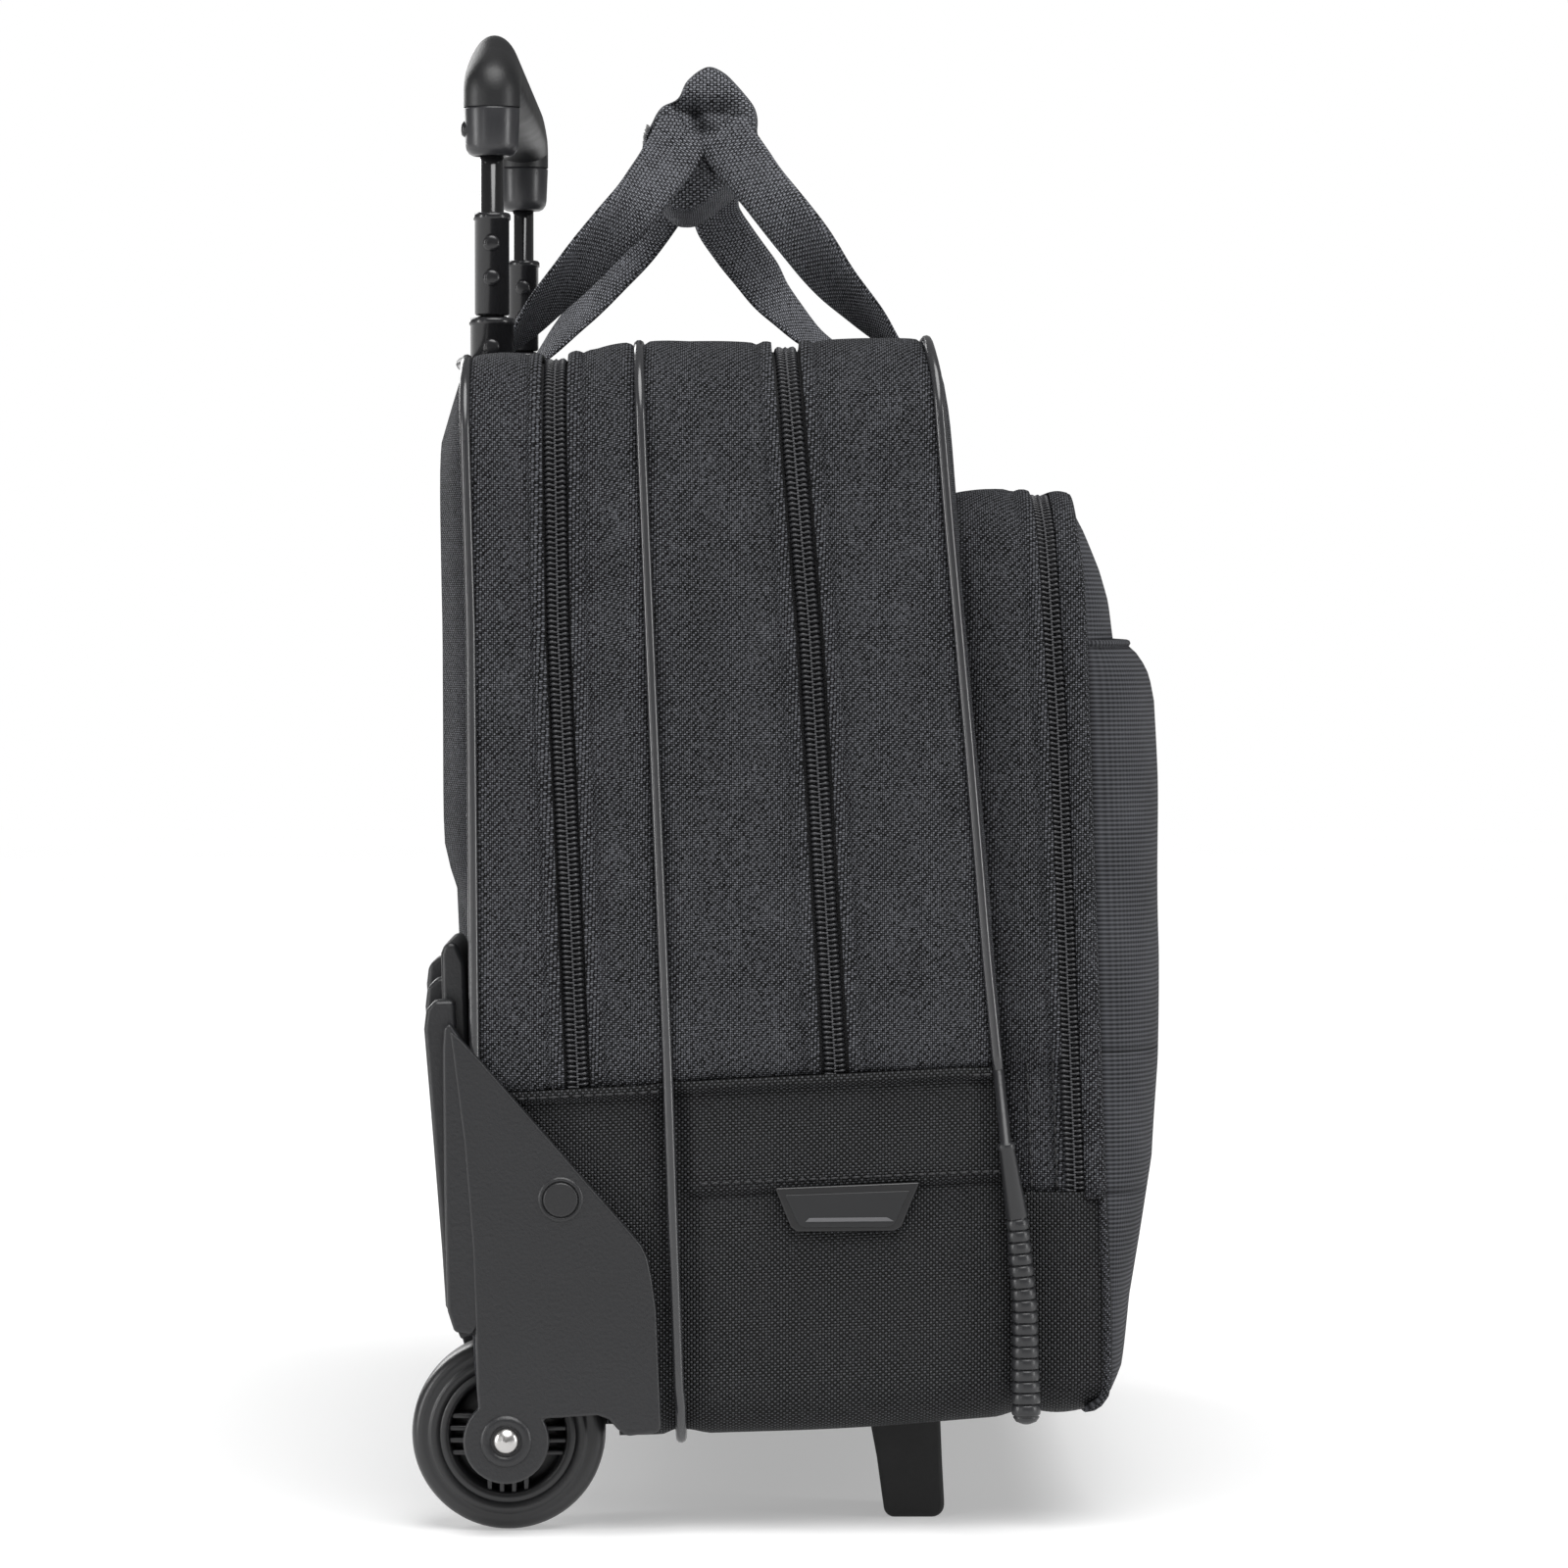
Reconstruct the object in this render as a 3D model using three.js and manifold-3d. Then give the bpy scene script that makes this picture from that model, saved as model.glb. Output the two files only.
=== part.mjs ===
// A rolling laptop case: a soft bag sewn in four upright sections on a hard-wearing base, with a
// telescopic pull handle, two wheels in moulded housings, two feet, a carry handle and a front
// organizer pocket. Millimetres; +X is the bag's right, +Y its back, +Z up. The origin is on the
// floor, under the middle of the bag.
import * as THREE from "three";
import { mergeVertices } from "three/addons/utils/BufferGeometryUtils.js";
import Module from "manifold-3d";

// ---- Driving dimensions ----
const GAP = 0.3; // clearance between pieces that touch

// The bag's own box, seen from the front.
const HALF_WIDTH = 215;
const BOTTOM_Z = 32;
const TOP_Z = 364;
const TOP_CORNER = 28;
const BOTTOM_CORNER = 14;
const WALL = 3;

// Seams that run up the side, over the top and down again: their Y at BOTTOM_Z and at TOP_Z.
const BACK_SEAM = { low: 93.3, high: 98.6 };
const REAR_ZIP = { low: 60, high: 71 };
const MIDDLE_SEAM = { low: 32.3, high: 45.3 };
const FRONT_ZIP = { low: -23, high: -0.2 };
const FRONT_SEAM = { low: -73.4, high: -45.8 };
const PIPING_RADIUS = 1.6;
const ZIP_HALF_GAP = 3.5; // from a zipper's centre line to the edge of the cloth
const COIL_HALF_WIDTH = 3.2;
const COIL_THICK = 2;

// The hard-wearing base reaches up to a sloping hem.
const HEM = { back: 137, front: 143.4 };
const HEM_BACK_Y = 84;
const HEM_FRONT_Y = -62;

// The organizer pocket on the front wall.
const POCKET_HALF_WIDTH = 203;
const POCKET_WALL = 2.5;
const POCKET_BOTTOM_Z = 41;
const POCKET_TOP_Z = 319;
const POCKET_CORNER = 30;
const POCKET_ZIP = { low: -92.6, high: -79 };
const POCKET_EDGE = { low: -98.6, high: -90 };
const PANEL_FOLD_Z = 105; // where the zipper ends and the panel folds down
const POCKET_SPLIT_Z = 146; // above this the pocket moves with the front wall

// Telescopic handle.
const TUBE_X = 135;
const TUBE_Y = 93;
const OUTER_TUBE = { radius: 6.4, bore: 5.6, low: 51, high: 361.2 };
const OUTER_COLLAR = { radius: 6.9, bore: 5.6, low: 361.5, high: 377.6 };
const MIDDLE_TUBE = { radius: 5.1, bore: 4.3, low: 62, high: 378 };
const MIDDLE_COLLAR = { radius: 5.5, bore: 4.2, low: 378.3, high: 411 };
const INNER_TUBE = { radius: 3.75, bore: 2.9, low: 68, high: 444 };
const STUD_RADIUS = 2.7;
const GRIP = { halfWidth: 143.5, halfDepth: 9, low: 429, under: 447, top: 468 };

// Wheels, axles and feet.
const WHEEL_RADIUS = 30;
const WHEEL_Y = 85.7;
const WHEEL_OUTER_X = 205;
const WHEEL_WIDTH = 23;
const RIM_RADIUS = 21;
const AXLE_RADIUS = 4;
const PLATE_INNER_X = 216.6;
const PLATE_OUTER_X = 220;
const WELL_INNER_X = 176;
const FOOT_OUTER_X = 175;
const FOOT_WIDTH = 30;

// Carry handle.
const STRAP_RADIUS = 7;
const WRAP = { halfLength: 58, y: 26.5, z: 438.5, halfDepth: 20.5, halfHeight: 26 };

// Zipper sliders stand on the top runs of the coils.
const SLIDER = {
  length: 12,
  width: 8,
  height: 4,
  slotHalf: 2,
  slotFloor: 1.4,
  boreRadius: 0.85,
  boreEnd: 2.8,
};
const PULL = {
  length: 27,
  width: 6,
  thickness: 1,
  neckHalf: 1.5,
  tabStart: 4.5,
  trunnionRadius: 0.6,
};
const PULL_PIVOT = { x: 3, z: 2.3 }; // from the middle of the slider's underside
const SLIDER_REST_X = 20;

const wasm = await Module();
wasm.setup();

// ---- Materials ----
const look = (color, roughness, metalness = 0) => ({ color, roughness, metalness });
const POLYESTER = look(0x2f3033, 0.9);
const BALLISTIC = look(0x232427, 0.8);
const RIBBED = look(0x34363b, 0.85);
const WEBBING = look(0x2c2d30, 0.85);
const LINING = look(0x55575b, 0.9);
const GLOSS_VINYL = look(0x1c1d1f, 0.3);
const BUMPER_RUBBER = look(0x2a2b2d, 0.55);
const COIL_NYLON = look(0x202124, 0.5);
const MOULDED = look(0x2a2b2e, 0.6);
const TYRE = look(0x222325, 0.45);
const TUBE_PAINT = look(0x151618, 0.25, 0.4);
const COLLAR_PLASTIC = look(0x1d1e20, 0.4);
const GRIP_PLASTIC = look(0x3a3b3d, 0.45);
const CHROME = look(0xd0d0d0, 0.15, 1);
const BADGE_GREY = look(0x4a4b4d, 0.4);

// ---- Solids ----

// A closed three.js geometry as a solid that can be cut and joined.
function solid(geometry) {
  const bare = geometry.clone();
  bare.deleteAttribute("normal");
  bare.deleteAttribute("uv");
  const merged = mergeVertices(bare, 1e-3);
  return new wasm.Manifold(
    new wasm.Mesh({
      numProp: 3,
      vertProperties: merged.attributes.position.array,
      triVerts: new Uint32Array(merged.index.array),
    }),
  );
}

const join = (...solids) => solids.reduce((a, b) => a.add(b));

function geometryOf(cutSolid) {
  const mesh = cutSolid.getMesh();
  const geometry = new THREE.BufferGeometry();
  geometry.setAttribute("position", new THREE.BufferAttribute(mesh.vertProperties, 3));
  geometry.setIndex(new THREE.BufferAttribute(mesh.triVerts, 1));
  geometry.computeVertexNormals();
  return geometry;
}

function outline(points) {
  return new THREE.Shape(points.map(([u, v]) => new THREE.Vector2(u, v)));
}

// A Y-Z outline drawn out along X, from lowX to highX.
function prismX(shape, lowX, highX, curveSegments = 6) {
  const geometry = new THREE.ExtrudeGeometry(shape, {
    depth: highX - lowX,
    bevelEnabled: false,
    curveSegments,
  });
  const axes = new THREE.Matrix4().makeBasis(
    new THREE.Vector3(0, 1, 0),
    new THREE.Vector3(0, 0, 1),
    new THREE.Vector3(1, 0, 0),
  );
  return solid(geometry.applyMatrix4(axes).translate(lowX, 0, 0));
}

// An X-Z outline drawn out along Y, from lowY to highY, its edges rounded by bevel.
function prismY(shape, lowY, highY, bevel = 0, curveSegments = 6) {
  const geometry = new THREE.ExtrudeGeometry(shape, {
    depth: highY - lowY - 2 * bevel,
    bevelEnabled: bevel > 0,
    bevelThickness: bevel,
    bevelSize: bevel,
    bevelOffset: -bevel,
    bevelSegments: 2,
    curveSegments,
  });
  const axes = new THREE.Matrix4().makeBasis(
    new THREE.Vector3(1, 0, 0),
    new THREE.Vector3(0, 0, 1),
    new THREE.Vector3(0, -1, 0),
  );
  return solid(geometry.applyMatrix4(axes).translate(0, highY - bevel, 0));
}

function box(low, high) {
  const size = high.map((value, axis) => value - low[axis]);
  const middle = high.map((value, axis) => (value + low[axis]) / 2);
  return solid(new THREE.BoxGeometry(...size).translate(...middle));
}

// A cylinder along X.
function rodX(radius, lowX, highX, y, z, sides = 20) {
  const rod = new THREE.CylinderGeometry(radius, radius, highX - lowX, sides);
  return solid(rod.rotateZ(Math.PI / 2).translate((lowX + highX) / 2, y, z));
}

// A cylinder along Z.
function rodZ(radius, lowZ, highZ, x, y, sides = 16) {
  const rod = new THREE.CylinderGeometry(radius, radius, highZ - lowZ, sides);
  return solid(rod.rotateX(Math.PI / 2).translate(x, y, (lowZ + highZ) / 2));
}

// A round cord along a smooth curve through the points.
function cord(points, radius, steps, sides) {
  const section = new THREE.Shape();
  section.absarc(0, 0, radius, 0, 2 * Math.PI, false);
  const route = new THREE.CatmullRomCurve3(
    points.map((point) => new THREE.Vector3(...point)),
    false,
    "centripetal",
  );
  return solid(
    new THREE.ExtrudeGeometry(section, { steps, curveSegments: sides, extrudePath: route }),
  );
}

// ---- The bag's shape ----

// An upright oblong with round corners, as the bag is seen from the front.
function frontOutline(halfWidth, lowZ, highZ, topCorner, bottomCorner) {
  const shape = new THREE.Shape();
  shape.moveTo(-halfWidth + bottomCorner, lowZ);
  shape.lineTo(halfWidth - bottomCorner, lowZ);
  if (bottomCorner) {
    shape.absarc(halfWidth - bottomCorner, lowZ + bottomCorner, bottomCorner, -Math.PI / 2, 0);
  }
  shape.lineTo(halfWidth, highZ - topCorner);
  shape.absarc(halfWidth - topCorner, highZ - topCorner, topCorner, 0, Math.PI / 2);
  shape.lineTo(-halfWidth + topCorner, highZ);
  shape.absarc(-halfWidth + topCorner, highZ - topCorner, topCorner, Math.PI / 2, Math.PI);
  shape.lineTo(-halfWidth, lowZ + bottomCorner);
  if (bottomCorner) {
    shape.absarc(-halfWidth + bottomCorner, lowZ + bottomCorner, bottomCorner, Math.PI, 1.5 * Math.PI);
  }
  return shape;
}

// The bag's hull, inset from its outer face; open at the front and the back when it is hollowed.
const bagBlock = (inset) =>
  prismY(
    frontOutline(
      HALF_WIDTH - inset,
      BOTTOM_Z + inset,
      TOP_Z - inset,
      TOP_CORNER - inset,
      BOTTOM_CORNER - inset,
    ),
    -120,
    120,
  );
const pocketBlock = (inset) =>
  prismY(
    frontOutline(
      POCKET_HALF_WIDTH - inset,
      POCKET_BOTTOM_Z + inset,
      POCKET_TOP_Z - inset,
      POCKET_CORNER - inset,
      BOTTOM_CORNER - inset,
    ),
    -130,
    0,
  );
const bagWall = bagBlock(0).subtract(bagBlock(WALL));
const pocketWall = pocketBlock(0).subtract(pocketBlock(POCKET_WALL));

// A seam's Y at height z.
const seamY = (seam, z) =>
  seam.low + ((seam.high - seam.low) * (z - BOTTOM_Z)) / (TOP_Z - BOTTOM_Z);
const hemZ = (y) =>
  HEM.back + ((HEM.front - HEM.back) * (HEM_BACK_Y - y)) / (HEM_BACK_Y - HEM_FRONT_Y);

// Everything between two seams, offset by frontShift and backShift, from lowZ to highZ.
function slab(front, frontShift, back, backShift, lowZ, highZ) {
  const shape = outline([
    [seamY(front, lowZ) + frontShift, lowZ],
    [seamY(back, lowZ) + backShift, lowZ],
    [seamY(back, highZ) + backShift, highZ],
    [seamY(front, highZ) + frontShift, highZ],
  ]);
  return prismX(shape, -HALF_WIDTH - 10, HALF_WIDTH + 10);
}

// What lies over the hem, and what lies under it, with a small gap between them.
const aboveHem = (shift) =>
  prismX(
    outline([
      [120, hemZ(120) + shift],
      [120, TOP_Z + 20],
      [-130, TOP_Z + 20],
      [-130, hemZ(-130) + shift],
    ]),
    -HALF_WIDTH - 10,
    HALF_WIDTH + 10,
  );
const overBase = aboveHem(GAP / 2);
const baseAndHem = bagBlock(-10).subtract(aboveHem(-GAP / 2));

const SKY = TOP_Z + 20;
const PIPE_SHIFT = PIPING_RADIUS + GAP;

// ---- The scene ----
const laptopCase = new THREE.Group();
const handleMiddle = new THREE.Group();
const handleTop = new THREE.Group();
const frontSection = new THREE.Group();
laptopCase.add(handleMiddle, handleTop, frontSection);

function place(parent, name, finish, body) {
  const mesh = new THREE.Mesh(geometryOf(body), new THREE.MeshStandardMaterial(finish));
  mesh.name = name;
  parent.add(mesh);
  return mesh;
}

// A left-hand solid and its mirror image, as two meshes.
function placePair(parent, name, finish, leftBody) {
  place(parent, `${name}_left`, finish, leftBody);
  place(parent, `${name}_right`, finish, leftBody).scale.x = -1;
}

// ---- Upper sections ----
const tubeHoles = join(
  ...[-1, 1].map((side) => rodZ(OUTER_COLLAR.radius + GAP, TOP_Z - 20, SKY, side * TUBE_X, TUBE_Y)),
);

function addUpperSections() {
  const section = (front, frontShift, back, backShift) =>
    bagWall.intersect(slab(front, frontShift, back, backShift, 0, SKY)).intersect(overBase);
  const rear = section(REAR_ZIP, ZIP_HALF_GAP, BACK_SEAM, -PIPE_SHIFT).subtract(tubeHoles);
  place(laptopCase, "rear_gusset", POLYESTER, rear);
  place(
    laptopCase,
    "laptop_gusset",
    POLYESTER,
    section(MIDDLE_SEAM, PIPE_SHIFT, REAR_ZIP, -ZIP_HALF_GAP),
  );
  place(
    laptopCase,
    "center_gusset",
    POLYESTER,
    section(FRONT_ZIP, ZIP_HALF_GAP, MIDDLE_SEAM, -PIPE_SHIFT),
  );
  place(
    frontSection,
    "front_gusset",
    POLYESTER,
    section(FRONT_SEAM, PIPE_SHIFT, FRONT_ZIP, -ZIP_HALF_GAP),
  );
}

// ---- Back panel, inner boards and front wall ----
const PANEL_INSET = 5;
const BACK_FACE_Y = 104.8;
const TUBE_ROOM_Y = 100.3; // the panel's inner face, behind the tubes
const HOUSING_INNER_X = 150;
const HOUSING_TOP_Z = 183;

// A panel with the bag's outline, inset, between two faces that follow the seams.
const panelBetween = (inset, front, frontShift, back, backShift, lowZ, highZ) =>
  bagBlock(inset).intersect(slab(front, frontShift, back, backShift, lowZ, highZ));

function addWalls() {
  const panelOutline = frontOutline(HALF_WIDTH - PANEL_INSET, 38, TOP_Z - PANEL_INSET, 24, 10);
  const dish = prismY(panelOutline, 84, BACK_FACE_Y, 6, 5)
    .subtract(slab(FRONT_SEAM, 0, BACK_SEAM, PIPE_SHIFT, 0, SKY))
    .subtract(box([-198, 80, 50], [198, TUBE_ROOM_Y, 348]));
  const corner = box([-230, 80, 20], [-HOUSING_INNER_X + GAP, 120, HOUSING_TOP_Z + GAP]);
  const back = dish.subtract(corner).subtract(corner.mirror([1, 0, 0]));
  place(laptopCase, "back_panel", POLYESTER, back);

  const board = bagBlock(PANEL_INSET).intersect(box([-230, 82, 66], [230, 84.5, TOP_Z - 6]));
  place(laptopCase, "back_board", LINING, board);

  const divider = panelBetween(PANEL_INSET, MIDDLE_SEAM, -1.5, MIDDLE_SEAM, 1.5, 37, TOP_Z - 6);
  place(laptopCase, "divider", LINING, divider);

  const frontWall = panelBetween(
    PANEL_INSET,
    FRONT_SEAM,
    -1.5,
    FRONT_SEAM,
    1.5,
    POCKET_SPLIT_Z,
    TOP_Z - PANEL_INSET,
  );
  place(frontSection, "front_wall", POLYESTER, frontWall);
  const baseFront = panelBetween(6, FRONT_SEAM, -1.5, FRONT_SEAM, 1.5, 38, 141);
  place(laptopCase, "base_front", BALLISTIC, baseFront);
}

// ---- Base ----
const BUMPER_ROOM = 6; // free corner for the bumper cord
const WELL_ROOM_RADIUS = 37; // the wheel arch, with its wall

function addBase() {
  const sides = bagWall.intersect(box([-230, -130, BOTTOM_Z + BOTTOM_CORNER], [0, 130, SKY]));
  const low = baseAndHem.intersect(sides);
  const arch = rodX(WELL_ROOM_RADIUS, -240, 0, WHEEL_Y, WHEEL_RADIUS, 24);
  placePair(
    laptopCase,
    "base_side_front",
    BALLISTIC,
    low.intersect(slab(FRONT_SEAM, BUMPER_ROOM, MIDDLE_SEAM, -PIPE_SHIFT, 0, SKY)),
  );
  placePair(
    laptopCase,
    "base_side_rear",
    BALLISTIC,
    low.intersect(slab(MIDDLE_SEAM, PIPE_SHIFT, BACK_SEAM, -PIPE_SHIFT, 0, SKY)).subtract(arch),
  );

  const wheelRoom = box([-230, 47, 0], [-171, 130, 60]);
  const cordGroove = slab(MIDDLE_SEAM, -PIPE_SHIFT - 0.1, MIDDLE_SEAM, PIPE_SHIFT + 0.1, 0, SKY);
  const trough = bagWall
    .intersect(box([-230, -130, 0], [230, 130, BOTTOM_Z + BOTTOM_CORNER - GAP]))
    .intersect(slab(FRONT_SEAM, BUMPER_ROOM, BACK_SEAM, -PIPE_SHIFT, 0, SKY))
    .subtract(wheelRoom)
    .subtract(wheelRoom.mirror([1, 0, 0]))
    .subtract(cordGroove.subtract(box([-188, -130, 0], [188, 130, SKY])));
  place(laptopCase, "base_bottom", BALLISTIC, trough);
}

// ---- Pipings and bumper cords ----
const PIPE_X = 214.6; // the cord stands half out of the seam
const PIPE_TOP_Z = 363.6;
const TUBE_BOW = 3.6;

// The route of a seam's cord from lowZ on the left, over the top, to lowZ on the right.
// The top run bows back by topBow, as it does where it passes behind the handle's tubes.
function seamRoute(seam, lowZ, topBow = 0) {
  const corner = TOP_CORNER;
  const left = [];
  const levels = [lowZ, (lowZ + PIPE_TOP_Z) / 2, PIPE_TOP_Z - corner];
  levels.forEach((z) => left.push([-PIPE_X, seamY(seam, z), z]));
  [30, 60, 90].forEach((degrees) => {
    const turn = THREE.MathUtils.degToRad(degrees);
    const x = -PIPE_X + corner * (1 - Math.cos(turn));
    const z = PIPE_TOP_Z - corner * (1 - Math.sin(turn));
    left.push([x, seamY(seam, z), z]);
  });
  if (topBow) left.push([-TUBE_X - 20, seamY(seam, PIPE_TOP_Z) + topBow, PIPE_TOP_Z]);
  const right = left.map(([x, y, z]) => [-x, y, z]).reverse();
  return [...left, [0, seamY(seam, PIPE_TOP_Z) + topBow, PIPE_TOP_Z], ...right];
}

// A cord that thickens into a ringed bumper down the front corner of the base.
function bumperCord() {
  const top = 142.5;
  const profile = [
    [0, top],
    [PIPING_RADIUS, top],
    [PIPING_RADIUS, 121],
    [2.6, 121],
    [2.6, 98],
  ];
  const rings = 17;
  const low = 38;
  const pitch = (98 - low) / rings;
  for (let ring = 0; ring < rings; ring += 1) {
    const z = 98 - ring * pitch;
    const radius = 2.85 + (1.05 * ring) / (rings - 1);
    profile.push([radius, z - 0.5], [radius, z - pitch + 0.9], [radius - 0.6, z - pitch + 0.3]);
  }
  profile.push([2.2, low - 1], [0, low - 1.6]);
  const cordLathe = new THREE.LatheGeometry(
    profile.reverse().map(([radius, z]) => new THREE.Vector2(radius, z)),
    6,
  );
  cordLathe.rotateX(Math.PI / 2);
  const lean = Math.atan2(FRONT_SEAM.high - FRONT_SEAM.low, TOP_Z - BOTTOM_Z);
  const rotated = cordLathe.rotateX(-lean);
  return solid(rotated.translate(-PIPE_X + 1, FRONT_SEAM.low - Math.tan(lean) * BOTTOM_Z + 0.5, 0));
}

function addPipings() {
  const back = cord(seamRoute(BACK_SEAM, 78, TUBE_BOW), PIPING_RADIUS, 44, 3);
  place(laptopCase, "back_piping", GLOSS_VINYL, back);
  const front = cord(seamRoute(FRONT_SEAM, POCKET_SPLIT_Z), PIPING_RADIUS, 40, 3);
  place(frontSection, "front_piping", GLOSS_VINYL, front);

  const middleSeam = seamRoute(MIDDLE_SEAM, BOTTOM_Z + BOTTOM_CORNER);
  const under = [30, 60, 90].map((degrees) => {
    const turn = THREE.MathUtils.degToRad(degrees);
    return [
      PIPE_X - BOTTOM_CORNER * (1 - Math.cos(turn)),
      MIDDLE_SEAM.low,
      BOTTOM_Z - PIPING_RADIUS - GAP + BOTTOM_CORNER * (1 - Math.sin(turn)),
    ];
  });
  const lowRight = [...under, [1, MIDDLE_SEAM.low, BOTTOM_Z - PIPING_RADIUS - GAP]];
  const lowLeft = lowRight.map(([x, y, z]) => [-x, y, z]).reverse();
  const middle = cord([...lowLeft, ...middleSeam, ...lowRight], PIPING_RADIUS, 70, 3);
  place(laptopCase, "middle_piping", GLOSS_VINYL, middle);
  placePair(laptopCase, "bumper", BUMPER_RUBBER, bumperCord());
}

// ---- Zippers ----
const coilRing = bagBlock(0.5).subtract(bagBlock(0.5 + COIL_THICK));
const pocketCoilRing = pocketBlock(0.3).subtract(pocketBlock(0.3 + COIL_THICK));

function addZippers() {
  const run = (seam, low, high) =>
    coilRing.intersect(slab(seam, low, seam, high, 0, SKY)).intersect(aboveHem(1));
  place(laptopCase, "rear_zipper", COIL_NYLON, run(REAR_ZIP, -COIL_HALF_WIDTH, COIL_HALF_WIDTH));
  place(laptopCase, "front_zipper_back", COIL_NYLON, run(FRONT_ZIP, GAP / 2, COIL_HALF_WIDTH));
  place(frontSection, "front_zipper_front", COIL_NYLON, run(FRONT_ZIP, -COIL_HALF_WIDTH, -GAP / 2));

  const pocketRun = (low, high, lowZ) =>
    pocketCoilRing.intersect(slab(POCKET_ZIP, low, POCKET_ZIP, high, lowZ, SKY));
  place(frontSection, "pocket_zipper_back", COIL_NYLON, pocketRun(GAP / 2, 2.7, POCKET_SPLIT_Z));
  place(
    frontSection,
    "pocket_zipper_front",
    COIL_NYLON,
    pocketRun(-2.7, -GAP / 2, PANEL_FOLD_Z + 1),
  );
}

// A slider over a coil's top run, with its pull tab lying beside it along the coil. The tab's neck
// turns in an open slot on two short trunnions.
function addSlider(parent, name, x, y, clothTopZ) {
  const bodyLow = clothTopZ + GAP;
  const rodY = (radius, halfLength, sides) =>
    solid(new THREE.CylinderGeometry(radius, radius, 2 * halfLength, sides));
  const slider = box(
    [-SLIDER.length / 2, -SLIDER.width / 2, 0],
    [SLIDER.length / 2, SLIDER.width / 2, SLIDER.height],
  )
    .subtract(box([0, -SLIDER.slotHalf, SLIDER.slotFloor], [20, SLIDER.slotHalf, 20]))
    .subtract(rodY(SLIDER.boreRadius, SLIDER.boreEnd, 16).translate([PULL_PIVOT.x, 0, PULL_PIVOT.z]));
  place(parent, `${name}_slider`, CHROME, slider).position.set(x, y, bodyLow);

  const half = PULL.thickness / 2;
  const tab = join(
    box([-0.6, -PULL.neckHalf, -half], [PULL.tabStart + 1, PULL.neckHalf, half]),
    box([PULL.tabStart, -PULL.width / 2, -half], [PULL.length, PULL.width / 2, half]),
    rodY(PULL.trunnionRadius, SLIDER.boreEnd - 0.2, 12),
  );
  place(parent, `${name}_pull`, BUMPER_RUBBER, tab).position.set(
    x + PULL_PIVOT.x,
    y,
    bodyLow + PULL_PIVOT.z,
  );
}

// ---- Front organizer pocket ----
const SLIP_HALF_WIDTH = 197;
const SLIP_FACE = [
  [-109, 274],
  [-112, 270],
  [-113.8, 232],
  [-114.6, 177],
  [-114, 143],
  [-112.6, PANEL_FOLD_Z + 8],
];
const LOWER_FACE = [
  [-112, PANEL_FOLD_Z],
  [-109.3, 93],
  [-105.3, 70],
  [-103, 53],
  [-101.3, 45],
  [-97.9, POCKET_BOTTOM_Z],
];

function addPocket() {
  const gusset = pocketWall.intersect(
    slab(POCKET_ZIP, 3, FRONT_SEAM, -2, POCKET_SPLIT_Z, POCKET_TOP_Z + 10),
  );
  place(frontSection, "pocket_gusset", POLYESTER, gusset);

  const faceBack = slab(POCKET_EDGE, 0, POCKET_EDGE, 80, 0, SKY);
  const tray = pocketBlock(0)
    .intersect(slab(POCKET_EDGE, -2.5, POCKET_ZIP, -3, PANEL_FOLD_Z, POCKET_TOP_Z + 10))
    .subtract(pocketBlock(POCKET_WALL).intersect(faceBack));
  place(frontSection, "organizer_panel", RIBBED, tray);

  const slipBack = (z) => seamY(POCKET_EDGE, z) - 2.5 - GAP;
  const slipShape = (inset) =>
    outline([
      ...SLIP_FACE.map(([y, z]) => [y + inset, z + inset * 2]),
      [slipBack(PANEL_FOLD_Z) + inset * 40, PANEL_FOLD_Z + inset],
      [slipBack(274) + inset * 40, 274 + inset * 2],
    ]);
  const slip = prismX(slipShape(0), -SLIP_HALF_WIDTH, SLIP_HALF_WIDTH).subtract(
    prismX(slipShape(2), -SLIP_HALF_WIDTH + 2, SLIP_HALF_WIDTH - 2),
  );
  place(frontSection, "slip_pocket", RIBBED, slip);

  addLowerPocket();
}

// The pocket's lower end, which folds softly where the front wall or the panel folds down.
function addLowerPocket() {
  const top = PANEL_FOLD_Z - 0.5;
  const full = outline([
    [seamY(FRONT_SEAM, POCKET_SPLIT_Z) - 2.5, POCKET_SPLIT_Z - 0.5],
    [seamY(POCKET_ZIP, POCKET_SPLIT_Z) + 3, POCKET_SPLIT_Z - 0.5],
    [seamY(POCKET_ZIP, top) + 3, top],
    ...LOWER_FACE.map(([y, z]) => [y, Math.min(z, top)]),
    [seamY(FRONT_SEAM, POCKET_BOTTOM_Z) - 2.5, POCKET_BOTTOM_Z],
  ]);
  const room = outline([
    [-60, SKY],
    [seamY(POCKET_EDGE, SKY), SKY],
    [seamY(POCKET_EDGE, top), top],
    ...LOWER_FACE.map(([y, z]) => [y + 2.6, Math.max(Math.min(z, top), POCKET_BOTTOM_Z + 2.5)]),
    [-60, POCKET_BOTTOM_Z + 2.5],
  ]);
  const inner = POCKET_HALF_WIDTH - POCKET_WALL;
  const lower = prismX(full, -POCKET_HALF_WIDTH, POCKET_HALF_WIDTH).subtract(
    prismX(room, -inner, inner),
  );
  place(laptopCase, "pocket_lower", BALLISTIC, lower);
}

// ---- Badge, a plain plate hanging from the base's seam on the left side ----
function addBadge() {
  const plate = outline([
    [2.9, 106.8],
    [-2.3, 94.7],
    [-34.6, 94.7],
    [-40.6, 108.7],
  ]);
  const outer = -HALF_WIDTH - GAP;
  place(laptopCase, "badge", BADGE_GREY, prismX(plate, outer - 2.2, outer));
}

// ---- Wheel housings, wheels, axles and feet ----

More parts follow.
